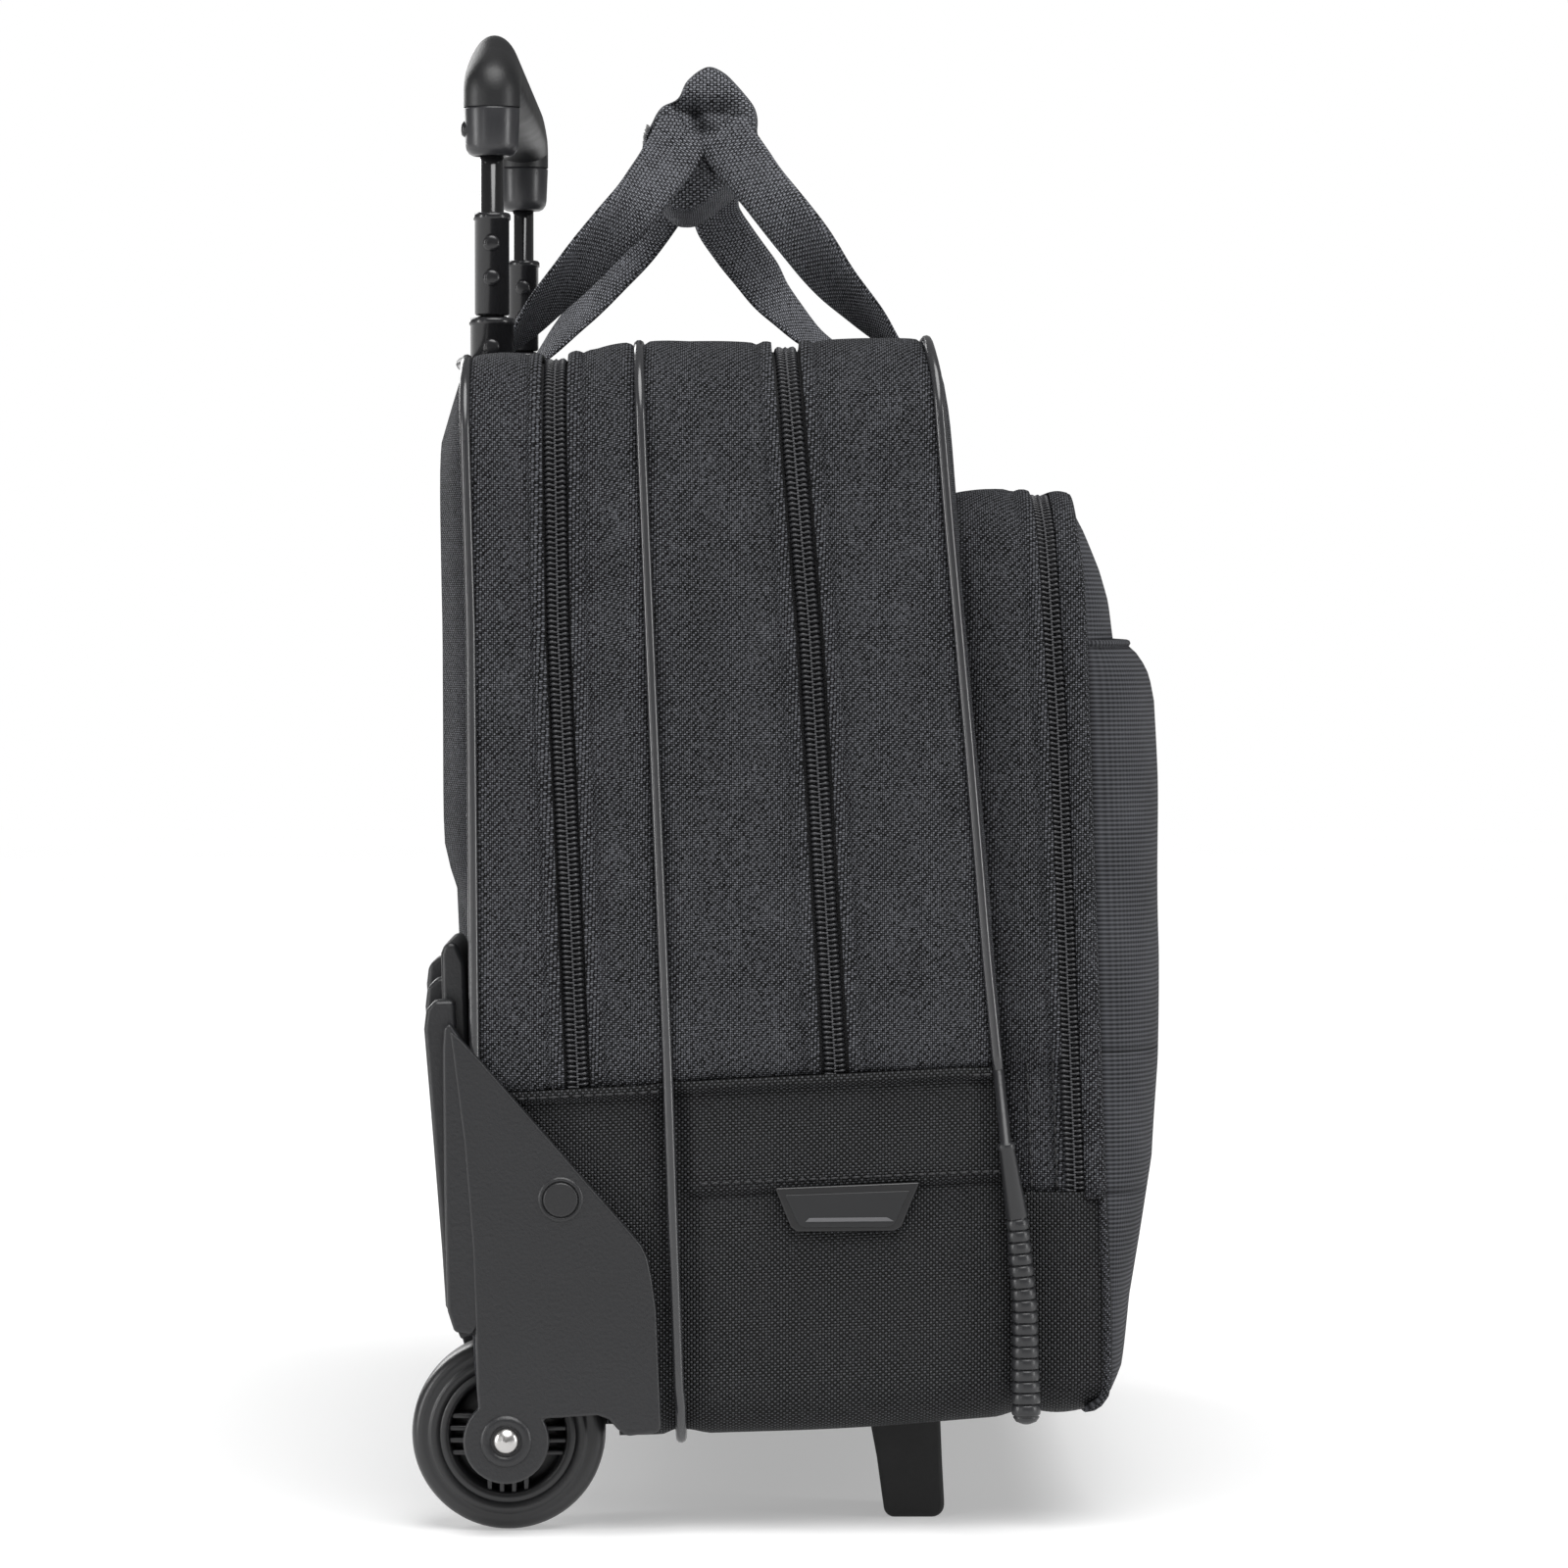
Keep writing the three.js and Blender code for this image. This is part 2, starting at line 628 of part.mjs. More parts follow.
// The side plate: a triangle over the bag's lower corner, with a lobe round the axle.
function sidePlateShape() {
  const shape = new THREE.Shape();
  shape.moveTo(102.9, 156);
  shape.lineTo(93.5, 147);
  shape.lineTo(44, 90);
  shape.quadraticCurveTo(40.5, 84, 39.5, 73);
  shape.lineTo(38.1, 33);
  shape.lineTo(49.5, 31.5);
  shape.quadraticCurveTo(53, 37.5, 58, 37.7);
  shape.lineTo(73.7, 37);
  const lobe = 13;
  shape.absarc(WHEEL_Y, WHEEL_RADIUS, lobe, Math.PI * 0.83, Math.PI * 2.28);
  shape.lineTo(95.5, 88);
  shape.lineTo(101, 150);
  return shape;
}

function housing() {
  const axleHole = rodX(AXLE_RADIUS + GAP, -240, -100, WHEEL_Y, WHEEL_RADIUS, 16);
  const plate = prismX(sidePlateShape(), -PLATE_OUTER_X, -PLATE_INNER_X, 4);
  const arch = (radius, lowX, highX) => rodX(radius, lowX, highX, WHEEL_Y, WHEEL_RADIUS, 24);
  const archRoom = join(
    box([-240, 0, -20], [0, 96, WHEEL_RADIUS]),
    box([-240, 96, -20], [0, 140, 64]),
  );
  const shell = arch(36, -PLATE_INNER_X, -WELL_INNER_X)
    .subtract(arch(33.5, -PLATE_OUTER_X, -WELL_INNER_X - 3))
    .subtract(archRoom);
  const innerBoss = prismX(
    outline([
      [WHEEL_Y - 12, WHEEL_RADIUS + 6],
      [WHEEL_Y - 9, WHEEL_RADIUS - 8],
      [WHEEL_Y + 9, WHEEL_RADIUS - 8],
      [WHEEL_Y + 12, WHEEL_RADIUS + 6],
    ]),
    -WELL_INNER_X - 3,
    -WELL_INNER_X,
  );
  const rearWall = prismX(
    outline([
      [96.2, 64],
      [99.6, 64],
      [101, 120],
      [104.5, HOUSING_TOP_Z - 3],
      [103, HOUSING_TOP_Z],
      [100.8, HOUSING_TOP_Z],
      [98.6, 120],
    ]),
    -PLATE_INNER_X - 1,
    -HOUSING_INNER_X,
  );
  const rail = (outerX, topZ) =>
    prismX(
      outline([
        [98.6, 66],
        [104.4, 71],
        [105.5, 88],
        [110.6, topZ - 10],
        [108.5, topZ],
        [102, topZ - 1],
        [99.5, 120],
      ]),
      -outerX,
      -outerX + 8,
    );
  const cornerPost = prismX(
    outline([
      [95, 64],
      [99.6, 64],
      [101, 120],
      [103, 156],
      [99.5, 152],
      [96.5, 90],
    ]),
    -PLATE_OUTER_X + 1,
    -PLATE_INNER_X + 0.1,
  );
  return join(
    plate,
    shell,
    innerBoss,
    rearWall.subtract(prismX(outline([[200, 156], [200, 300], [0, 300], [0, 156]]), -240, -209)),
    cornerPost,
    rail(214, 165),
    rail(198, 170.4),
    rail(182, 176),
  ).subtract(axleHole);
}

// A wheel lies at the group's origin with its outer face at -X.
function tyreSolid() {
  const half = WHEEL_WIDTH / 2;
  const ring = new THREE.LatheGeometry(
    [
      [RIM_RADIUS, -half],
      [24.2, -half],
      [25, -half + 1],
      [28.2, -half + 1.6],
      [29.6, -half + 4.5],
      [WHEEL_RADIUS, -3],
      [WHEEL_RADIUS, 3],
      [29.6, half - 4.5],
      [28.2, half - 1.6],
      [25, half - 1],
      [24.2, half],
      [RIM_RADIUS, half],
      [RIM_RADIUS, -half],
    ].map(([radius, x]) => new THREE.Vector2(radius, x)),
    28,
  );
  return solid(ring.rotateZ(-Math.PI / 2));
}

function hubSolid() {
  const half = WHEEL_WIDTH / 2 - 0.5;
  const bore = AXLE_RADIUS + GAP;
  const disc = new THREE.LatheGeometry(
    [
      [bore, -half + 2],
      [8, -half + 2],
      [8, -2],
      [18, -2],
      [18, -half],
      [RIM_RADIUS - GAP, -half],
      [RIM_RADIUS - GAP, half],
      [18, half],
      [18, 2],
      [8, 2],
      [8, half - 2],
      [bore, half - 2],
      [bore, -half + 2],
    ].map(([radius, x]) => new THREE.Vector2(radius, x)),
    20,
  );
  const ribs = [];
  [0, 1, 2, 3].forEach((quarter) => {
    [-5.4, -1.8, 1.8, 5.4].forEach((shift) => {
      const rib = box([-half + 3, shift - 0.6, 6.8], [half - 3, shift + 0.6, 18.4]);
      ribs.push(rib.rotate([quarter * 90, 0, 0]));
    });
  });
  return join(solid(disc.rotateZ(-Math.PI / 2)), ...ribs);
}

function addRunningGear() {
  placePair(laptopCase, "wheel_housing", MOULDED, housing());
  const axle = join(
    rodX(AXLE_RADIUS, -PLATE_OUTER_X, -WELL_INNER_X + 1.5, WHEEL_Y, WHEEL_RADIUS, 16),
    rodX(3.4, -PLATE_OUTER_X - 1.2, -PLATE_OUTER_X + 1, WHEEL_Y, WHEEL_RADIUS, 16),
  );
  placePair(laptopCase, "axle", CHROME, axle);

  const middleX = -WHEEL_OUTER_X + WHEEL_WIDTH / 2;
  [
    ["left", middleX],
    ["right", -middleX],
  ].forEach(([side, x]) => {
    const wheel = new THREE.Group();
    wheel.position.set(x, WHEEL_Y, WHEEL_RADIUS);
    laptopCase.add(wheel);
    place(wheel, `tyre_${side}`, TYRE, tyreSolid());
    place(wheel, `hub_${side}`, MOULDED, hubSolid());
  });

  const foot = new THREE.Shape();
  foot.moveTo(-26, BOTTOM_Z - GAP);
  foot.lineTo(-48, BOTTOM_Z - GAP);
  foot.lineTo(-50, 3.5);
  foot.quadraticCurveTo(-49.8, 0.4, -46, 0);
  foot.lineTo(-34, 0);
  foot.quadraticCurveTo(-31.4, 0.2, -31, 3);
  const block = prismX(foot, -FOOT_OUTER_X, -FOOT_OUTER_X + FOOT_WIDTH, 3);
  placePair(laptopCase, "foot", MOULDED, block);
}

// ---- Telescopic handle ----
function pipe({ radius, bore, low, high }, x) {
  return rodZ(radius, low, high, x, TUBE_Y, 16).subtract(
    rodZ(bore, low - 1, high + 1, x, TUBE_Y, 16),
  );
}

// A plastic collar with round snap studs on both faces at the given heights.
function collar(dimensions, x, studHeights) {
  const reach = dimensions.radius + 0.7;
  const studs = studHeights.map((z) => rodX(STUD_RADIUS, x - reach, x + reach, TUBE_Y, z, 12));
  return join(rodZ(dimensions.radius, dimensions.low, dimensions.high, x, TUBE_Y, 16), ...studs)
    .subtract(rodZ(dimensions.bore, dimensions.low - 1, dimensions.high + 1, x, TUBE_Y, 16));
}

function gripSolid() {
  const outer = frontOutline(GRIP.halfWidth, GRIP.low, GRIP.top, 24, 0);
  const gap = frontOutline(TUBE_X * 2 - GRIP.halfWidth, GRIP.low - 20, GRIP.under, 14, 0);
  const bar = prismY(outer, TUBE_Y - GRIP.halfDepth, TUBE_Y + GRIP.halfDepth, 3.5, 5);
  const sockets = [-1, 1].map((side) =>
    rodZ(INNER_TUBE.radius + GAP, GRIP.low - 5, INNER_TUBE.high + GAP, side * TUBE_X, TUBE_Y, 16),
  );
  const buttonRoom = box([-15.4, TUBE_Y - 4.9, 457.5], [15.4, TUBE_Y + 4.9, 480]);
  return bar
    .subtract(prismY(gap, 60, 120))
    .subtract(join(...sockets))
    .subtract(buttonRoom);
}

function addPullHandle() {
  [
    ["left", -TUBE_X],
    ["right", TUBE_X],
  ].forEach(([side, x]) => {
    place(laptopCase, `outer_tube_${side}`, TUBE_PAINT, pipe(OUTER_TUBE, x));
    place(laptopCase, `outer_collar_${side}`, COLLAR_PLASTIC, collar(OUTER_COLLAR, x, [369]));
    place(handleMiddle, `middle_tube_${side}`, TUBE_PAINT, pipe(MIDDLE_TUBE, x));
    place(handleMiddle, `middle_collar_${side}`, COLLAR_PLASTIC, collar(MIDDLE_COLLAR, x, [390, 401]));
    place(handleTop, `inner_tube_${side}`, TUBE_PAINT, pipe(INNER_TUBE, x));
  });
  place(handleTop, "grip", GRIP_PLASTIC, gripSolid());
  const button = box([-15, TUBE_Y - 4.5, 462], [15, TUBE_Y + 4.5, GRIP.top]);
  place(handleTop, "release_button", COLLAR_PLASTIC, button);
}

// ---- Carry handle ----
function strap(footY, footZ, gripY, gripZ) {
  const left = [
    [-104, footY, footZ],
    [-98, footY + (gripY - footY) * 0.22, footZ + (gripZ - footZ) * 0.36],
    [-84, footY + (gripY - footY) * 0.62, footZ + (gripZ - footZ) * 0.76],
    [-64, gripY, gripZ - 2],
    [-34, gripY, gripZ],
  ];
  const right = left.map(([x, y, z]) => [-x, y, z]).reverse();
  return cord([...left, [0, gripY, gripZ], ...right], STRAP_RADIUS, 26, 3);
}

function addCarryHandle() {
  place(laptopCase, "rear_strap", WEBBING, strap(88, TOP_Z + 9, 35, 437));
  place(frontSection, "front_strap", WEBBING, strap(-34, TOP_Z + 9, 18, 438));
  const outer = new THREE.Shape();
  outer.absellipse(WRAP.y, WRAP.z, WRAP.halfDepth, WRAP.halfHeight, 0, 2 * Math.PI);
  const sleeve = prismX(outer, -WRAP.halfLength, WRAP.halfLength, 10);
  const room = box([-100, 10, 429], [100, 43, 446.5]);
  place(laptopCase, "grip_wrap", WEBBING, sleeve.subtract(room));
}

addUpperSections();
addWalls();
addBase();
addPipings();
addZippers();
addSlider(laptopCase, "rear", SLIDER_REST_X, seamY(REAR_ZIP, TOP_Z), TOP_Z);
addSlider(laptopCase, "front", SLIDER_REST_X, seamY(FRONT_ZIP, TOP_Z), TOP_Z);
addSlider(frontSection, "pocket", SLIDER_REST_X, seamY(POCKET_ZIP, POCKET_TOP_Z), POCKET_TOP_Z);
addPocket();
addBadge();
addRunningGear();
addPullHandle();
addCarryHandle();

export default laptopCase;
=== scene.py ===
"""A rolling laptop case: cloth, webbing, zippers, pipings, moulded parts and a telescopic handle,
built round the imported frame. Helpers take millimetres; +X is right, +Y the back and +Z up."""

from math import copysign, cos, dist, exp, hypot, pi, radians, sin, sqrt

import bpy
import numpy as np
from mathutils import Matrix, Vector, noise


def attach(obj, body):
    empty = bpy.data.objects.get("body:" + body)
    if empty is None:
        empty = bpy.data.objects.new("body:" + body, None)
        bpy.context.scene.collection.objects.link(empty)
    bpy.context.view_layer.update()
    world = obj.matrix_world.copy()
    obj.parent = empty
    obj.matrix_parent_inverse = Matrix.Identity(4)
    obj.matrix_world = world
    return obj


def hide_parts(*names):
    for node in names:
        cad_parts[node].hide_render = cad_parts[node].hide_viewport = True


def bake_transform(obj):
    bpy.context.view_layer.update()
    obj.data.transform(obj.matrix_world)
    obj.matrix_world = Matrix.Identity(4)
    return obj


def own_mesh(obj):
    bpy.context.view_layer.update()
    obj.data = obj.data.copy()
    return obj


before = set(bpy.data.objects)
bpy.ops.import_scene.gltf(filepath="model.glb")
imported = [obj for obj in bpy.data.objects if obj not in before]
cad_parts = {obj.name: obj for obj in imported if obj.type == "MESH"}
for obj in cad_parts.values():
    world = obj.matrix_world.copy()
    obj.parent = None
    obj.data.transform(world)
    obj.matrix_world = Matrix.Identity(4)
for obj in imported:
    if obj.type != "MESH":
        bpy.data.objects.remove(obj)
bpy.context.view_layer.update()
MM = 0.001

# ---- The bag's shape, in millimetres ----
HALF_WIDTH, TOP_CORNER, BOTTOM_CORNER = 215, 28, 14.0
POCKET_HALF_WIDTH, POCKET_CORNER = 203, 30.0
POCKET_LOW_Z, FOLD_Z, BINDING_FOLD_END_Z, FOLD_END_Z = 36.6, 105, 116, 148.0
SLIP_TOP_Z, POCKET_TOP_Z = 274, 319.5
AXLE_Y, AXLE_Z = 85.7, 30.0
TUBE_X, TUBE_Y = 135.0, 93.0
SIDES = ((-1, "left"), (1, "right"))


def line(*points):
    """The straight-segment curve through (a, b) points as a function of a."""
    first, second = zip(*points)
    return lambda a: float(np.interp(a, first, second))


def shifted(curve, amount):
    return lambda a: curve(a) + amount


def level(height):
    return lambda a: height


# Seams and zippers run up the side, over the top and down again: y at each height z.
back_seam = line((40, 94), (88, 95), (147, 95.3), (279, 96.3), (361, 98.6))
rear_zip = line((138, 63.6), (279, 69.7), (361, 71))
middle_seam = line((30, 32.2), (88, 34.3), (147, 36.3), (279, 41.7), (366, 45.3))
front_zip = line((142, -15.3), (275, -7.5), (365, 0.0))
front_seam = line((37, -73.8), (70, -73.3), (98, -71), (121, -67.5), (177, -61.7), (246, -55.9),
                  (308, -50.2), (356, -46.2), (368, -43.5))
pocket_zip = line((105, -89.5), (246, -84), (308, -80.3), (320, -79))
pocket_edge = line((36, -92), (38, -96.5), (42, -98.9), (48, -99.6), (74, -99.2), (120, -97),
                   (290, -91), (319, -88))
slip_face = line((37, -94), (41.6, -102), (48, -105.6), (53, -106.4), (70, -108.2), (95, -112.9),
                 (113, -116.2), (143, -118), (177, -118.6), (232, -117.6), (256, -116.8),
                 (264, -115.4), (270, -112.4), (274, -108))
panel_face = line((41, -100), (100, -101.5), (230, -103.6), (276, -103), (287, -101.4),
                  (297, -98.4), (309, -93.6), (316, -90), (319.5, -87))
# Level lines: z at each place y.
top_line = line((-56, 366.5), (-44, 367), (-20, 365.5), (0, 365), (30, 364.5), (45, 365.6),
                (58, 362), (71, 361.3), (85, 361), (99, 361))
hem_line = line((-62, 144.4), (32, 140), (40, 139), (84, 136.8))
base_seam_line = line((-64, 110), (30, 106))
bottom_line = line((-74, 35.6), (30, 29.9), (95, 29.9))


def smooth(low, high, value):
    t = min(1.0, max(0.0, (value - low) / (high - low)))
    return t * t * (3 - 2 * t)


def bell(value, centre, width):
    return exp(-((value - centre) / width) ** 2)


def wrinkle(x, y, z, size, depth):
    """A gentle, fixed unevenness of cloth."""
    return depth * noise.noise(Vector((x / size, y / size + 7.3, z / size - 3.1)))


# ---- Materials: each look is a material and the name of its slot ----
class Nodes:
    """Short forms for making a material's node tree."""

    def __init__(self, name):
        self.material = bpy.data.materials.new(name)
        self.material.use_nodes = True
        self.tree = self.material.node_tree
        self.shader = self.tree.nodes["Principled BSDF"]

    def new(self, kind, *inputs, **settings):
        """A node. Each input is a value, another node's socket, or None to leave it alone."""
        node = self.tree.nodes.new("ShaderNode" + kind)
        for key, value in settings.items():
            setattr(node, key, value)
        for socket, value in zip(node.inputs, inputs):
            if isinstance(value, bpy.types.NodeSocket):
                self.tree.links.new(value, socket)
            elif value is not None:
                socket.default_value = value
        return node

    def math(self, operation, a, b=0.0, c=0.0):
        return self.new("Math", a, b, c, operation=operation).outputs[0]

    def times(self, a, b):
        return self.math("MULTIPLY", a, b)

    def plus(self, a, b, c):
        """a times b, plus c."""
        return self.math("MULTIPLY_ADD", a, b, c)

    def rest(self, a):
        return self.math("SUBTRACT", 1.0, a)

    def coordinate(self, kind):
        return self.new("TexCoord").outputs[kind]

    def noise(self, scale, detail):
        return self.new("TexNoise", self.coordinate("Object"), None, scale, detail).outputs["Fac"]

    def paint(self, factor, color, dark, light):
        """The base colour runs from dark times color to light times color."""
        shades = [(*(channel * amount for channel in color), 1) for amount in (dark, light)]
        mix = self.new("Mix", factor, *[None] * 5, *shades, data_type="RGBA")
        self.tree.links.new(mix.outputs[2], self.shader.inputs["Base Color"])

    def bump(self, height, distance):
        node = self.new("Bump")
        node.inputs["Distance"].default_value = distance * MM
        self.tree.links.new(height, node.inputs["Height"])
        self.tree.links.new(node.outputs[0], self.shader.inputs["Normal"])

    def set(self, **values):
        for key, value in values.items():
            self.shader.inputs[key.replace("_", " ")].default_value = value


def woven(name, slot, color, pitch, rough, bump, contrast=(0.45, 1.3), sheen=0.15, run=0.4,
          gloss=0.25, cycle=2, steep=1.5):
    """Woven cloth whose crossings repeat every few threads: 2 is plain weave, 3 a twill.

    UVs count hundreds of millimetres; pitch is (across, along) in mm."""
    n = Nodes(name)
    uv = n.new("SeparateXYZ", n.coordinate("UV")).outputs
    u, v = [n.times(uv[k], 100 / pitch[k]) for k in (0, 1)]
    across, along = [n.math("POWER", n.math("ABSOLUTE", n.plus(n.math("FRACT", place), 2.0, -1.0)),
                            2.0) for place in (u, v)]
    warp = n.times(n.rest(across), n.rest(n.times(along, run)))
    weft = n.times(n.rest(along), n.rest(n.times(across, run)))
    over = n.math("MODULO", n.math("ADD", n.math("FLOOR", u), n.math("FLOOR", v)), float(cycle))
    over = n.math("GREATER_THAN", n.math("ABSOLUTE", over), 0.5)
    height = n.math("ADD", n.times(n.times(warp, over), 0.35), n.times(weft, n.rest(over)))
    # Painted highlight and painted shade: the colour is lighter where threads rise and darker in
    # the dips between them; fine noise adds a random tone.
    weave_light_and_shade = n.plus(height, steep, -0.3 - 0.45 * steep)
    fibres_and_weave_shading = n.plus(n.noise(1100, 2), 1.3, weave_light_and_shade)
    n.paint(n.plus(n.noise(55, 4), 0.3, fibres_and_weave_shading), color, *contrast)
    n.bump(height, bump)
    n.set(Roughness=rough, Sheen_Weight=sheen, Sheen_Roughness=0.5, Specular_IOR_Level=gloss)
    return n.material, slot


def ribbed(name, slot, color, rib, column):
    """Knitted cloth with level ribs that are broken into short columns; sizes are in mm."""
    n = Nodes(name)
    uv = n.new("SeparateXYZ", n.coordinate("UV")).outputs
    side, up = [n.math("SINE", n.times(place, 100 * 2 * pi / size))
                for place, size in ((uv[0], column), (uv[1], rib))]
    height = n.plus(up, 0.42, n.plus(side, 0.12, 0.5))
    # Painted highlight and painted shade: rib crests are lighter and the grooves between ribs
    # darker; the noise adds a random tone.
    factor = n.plus(n.noise(40, 4), 0.4, n.plus(height, 0.8, -0.15))
    n.paint(factor, color, 0.2, 1.8)
    n.bump(height, 0.4)
    n.set(Roughness=0.72, Sheen_Weight=0.02, Sheen_Roughness=0.5, Specular_IOR_Level=0.1)
    return n.material, slot


def grained(name, slot, color, rough, grain_scale, grain, metallic=0.0, coat=0.0, wear=0.2):
    """Moulded plastic, rubber or paint with a fine grain and slightly uneven gloss."""
    n = Nodes(name)
    n.paint(n.noise(18, 5), color, 1 - wear, 1 + wear)
    n.tree.links.new(n.plus(n.noise(60, 3), 0.16, rough - 0.08), n.shader.inputs["Roughness"])
    n.bump(n.noise(grain_scale, 2), grain)
    n.set(Metallic=metallic, Coat_Weight=coat, Coat_Roughness=0.08)
    return n.material, slot


# The woven and ribbed looks carry painted highlight on raised threads and ribs and painted shade
# between them; the ballistic's bright lozenges are painted highlight.
POLYESTER = woven("polyester", "polyester", (0.054, 0.0554, 0.0612), (0.66, 0.66), 0.75, 0.5,
                  (0.03, 3.0), 0.02, 0.8, 0.1, cycle=3, steep=1.6)
BALLISTIC = woven("ballistic", "ballistic", (0.0108, 0.0111, 0.0119), (0.92, 0.84), 0.5, 0.7,
                  (0.05, 7.0), 0.0, 0.8, 0.15, steep=2.6)
WEBBING = woven("webbing", "webbing", (0.115, 0.118, 0.13), (1.15, 0.76), 0.75, 0.7,
                (0.05, 2.6), 0.02, 0.7, 0.1)
TAPE = woven("zipper_tape", "coil", (0.018, 0.018, 0.0195), (0.7, 0.5), 0.75, 0.2, (0.3, 1.7), 0.0)
LINING = woven("lining", "lining", (0.05, 0.05, 0.054), (0.6, 0.6), 0.7, 0.08)
RIBBED = ribbed("ribbed", "ribbed", (0.047, 0.0482, 0.0535), 1.4, 0.95)
THREAD = grained("thread", "webbing", (0.015, 0.0152, 0.017), 0.6, 900, 0.05)
VINYL = grained("vinyl_piping", "piping", (0.026, 0.0263, 0.0285), 0.26, 500, 0.015, coat=0.4)
BUMPER = grained("bumper_rubber", "bumper", (0.0165, 0.0168, 0.0185), 0.34, 700, 0.04)
COIL = grained("nylon_coil", "coil", (0.043, 0.0435, 0.0475), 0.26, 900, 0.01)
NICKEL = grained("dark_nickel", "coil", (0.06, 0.06, 0.063), 0.38, 200, 0.01, metallic=1.0)
MOULDED = grained("moulded_plastic", "moulded", (0.011, 0.0112, 0.0126), 0.4, 900, 0.12)
TYRE = grained("tyre_rubber", "tyre", (0.012, 0.012, 0.013), 0.36, 600, 0.03, wear=0.15)
HUB = grained("hub_plastic", "hub", (0.011, 0.011, 0.012), 0.4, 700, 0.04)
TUBE = grained("tube_paint", "tube", (0.006, 0.006, 0.0065), 0.16, 300, 0.008, coat=0.6, wear=0.1)
COLLAR = grained("collar_plastic", "collar", (0.014, 0.014, 0.0154), 0.24, 500, 0.02)
FERRULE = grained("ferrule_plastic", "grip", (0.023, 0.0232, 0.0255), 0.33, 700, 0.04)
GRIP = grained("grip_plastic", "grip", (0.0052, 0.0054, 0.0062), 0.46, 900, 0.06, wear=0.1)
RIVET = grained("rivet_chrome", "rivet", (0.5, 0.49, 0.48), 0.3, 200, 0.01, metallic=1.0, wear=0.08)
BADGE_RIM = grained("badge_rim", "badge", (0.005, 0.005, 0.0058), 0.3, 500, 0.02)
BADGE_PLATE = grained("badge_plate", "badge", (0.0085, 0.0088, 0.01), 0.42, 500, 0.02)
HOOKS = grained("hook_tape", "webbing", (0.2, 0.2, 0.2), 0.5, 800, 0.02)
BADGE_STRIPE = grained("badge_stripe", "badge", (0.1, 0.1, 0.105), 0.45, 500, 0.01)
FOOT = grained("foot_plastic", "moulded", (0.002, 0.002, 0.0022), 0.7, 900, 0.1)


# ---- Making pieces ----
def dress(obj, body, look, *replaced, thickness=0.0, offset=-1.0):
    """Thickens and paints a piece and lets it ride a body; body None leaves it riding none."""
    if thickness:
        modifier = obj.modifiers.new("thickness", "SOLIDIFY")
        modifier.thickness, modifier.offset = thickness * MM, offset
    material, slot = look
    obj.data.materials.append(material)
    if body:
        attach(obj, body)
    if replaced:
        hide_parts(*replaced)
    return obj


def mesh(name, points, faces, uvs=None):
    """A smooth-shaded mesh object from points in millimetres; uvs has one (u, v) per point."""
    data = bpy.data.meshes.new(name)
    data.from_pydata([(x * MM, y * MM, z * MM) for x, y, z in points], [], faces)
    if uvs is not None:
        layer = data.uv_layers.new(name="UVMap")
        loops = np.empty(len(data.loops), dtype=np.int32)
        data.loops.foreach_get("vertex_index", loops)
        layer.data.foreach_set("uv", (np.asarray(uvs, dtype=np.float32)[loops] * 0.01).ravel())
    data.polygons.foreach_set("use_smooth", [True] * len(data.polygons))
    obj = bpy.data.objects.new(name, data)
    bpy.context.collection.objects.link(obj)
    return obj


def quads(count, width, closed=True):
    """The faces between count rows of width points."""
    return [(r * width + c, r * width + (c + 1) % width,
             (r + 1) * width + (c + 1) % width, (r + 1) * width + c)
            for r in range(count - 1) for c in range(width if closed else width - 1)]


def grid(name, rows, closed=True, keep=None):
    """A sheet from rows of (point, uv). closed joins each row's ends; keep(x, y, z) drops faces."""
    points, uvs = zip(*(cell for row in rows for cell in row))
    faces = quads(len(rows), len(rows[0]), closed)
    if keep:
        faces = [face for face in faces if keep(*np.mean([points[i] for i in face], axis=0))]
    return mesh(name, points, faces, uvs)


def circle(steps):
    turns = [2 * pi * k / steps for k in range(steps)]
    return [(cos(turn), sin(turn)) for turn in turns]


def even_shares(count):
    """Places from -1 to 1, closer together at the ends."""
    return [sin(pi / 2 * (2 * i / count - 1)) for i in range(count + 1)]


def along(route):
    """Each point of a route, the way it runs there, and the length up to it."""
    run = 0.0
    for i, place in enumerate(route):
        if i:
            run += dist(place, route[i - 1])
        ahead = Vector(route[min(i + 1, len(route) - 1)]) - Vector(route[max(i - 1, 0)])
        yield Vector(place), ahead.normalized(), run


def tube_mesh(route, radius, sides=10):
    """Points, faces and UVs of a closed tube; radius is a number or one per route point."""
    radii = radius if hasattr(radius, "__len__") else [radius] * len(route)
    points, uvs, across = [], [], None
    for (centre, tangent, run), size in zip(along(route), radii):
        across = across or tangent.orthogonal().normalized()
        across = (across - tangent * across.dot(tangent)).normalized()
        other = tangent.cross(across)
        for k, (c, s) in enumerate(circle(sides)):
            points.append(tuple(centre + (across * c + other * s) * size))
            uvs.append((2 * pi * size * k / sides, run))
    ends = [tuple(reversed(range(sides))), tuple(range(len(points) - sides, len(points)))]
    return points, quads(len(route), sides) + ends, uvs


def tube(name, route, radius, sides=10):
    return mesh(name, *tube_mesh(route, radius, sides))


def many(name, parts):
    """One mesh of many small (points, faces) parts."""
    points, faces = [], []
    for part_points, part_faces, *_ in parts:
        start = len(points)
        points.extend(part_points)
        faces.extend(tuple(i + start for i in face) for face in part_faces)
    return mesh(name, points, faces, [(p[0] + p[1], p[2]) for p in points])


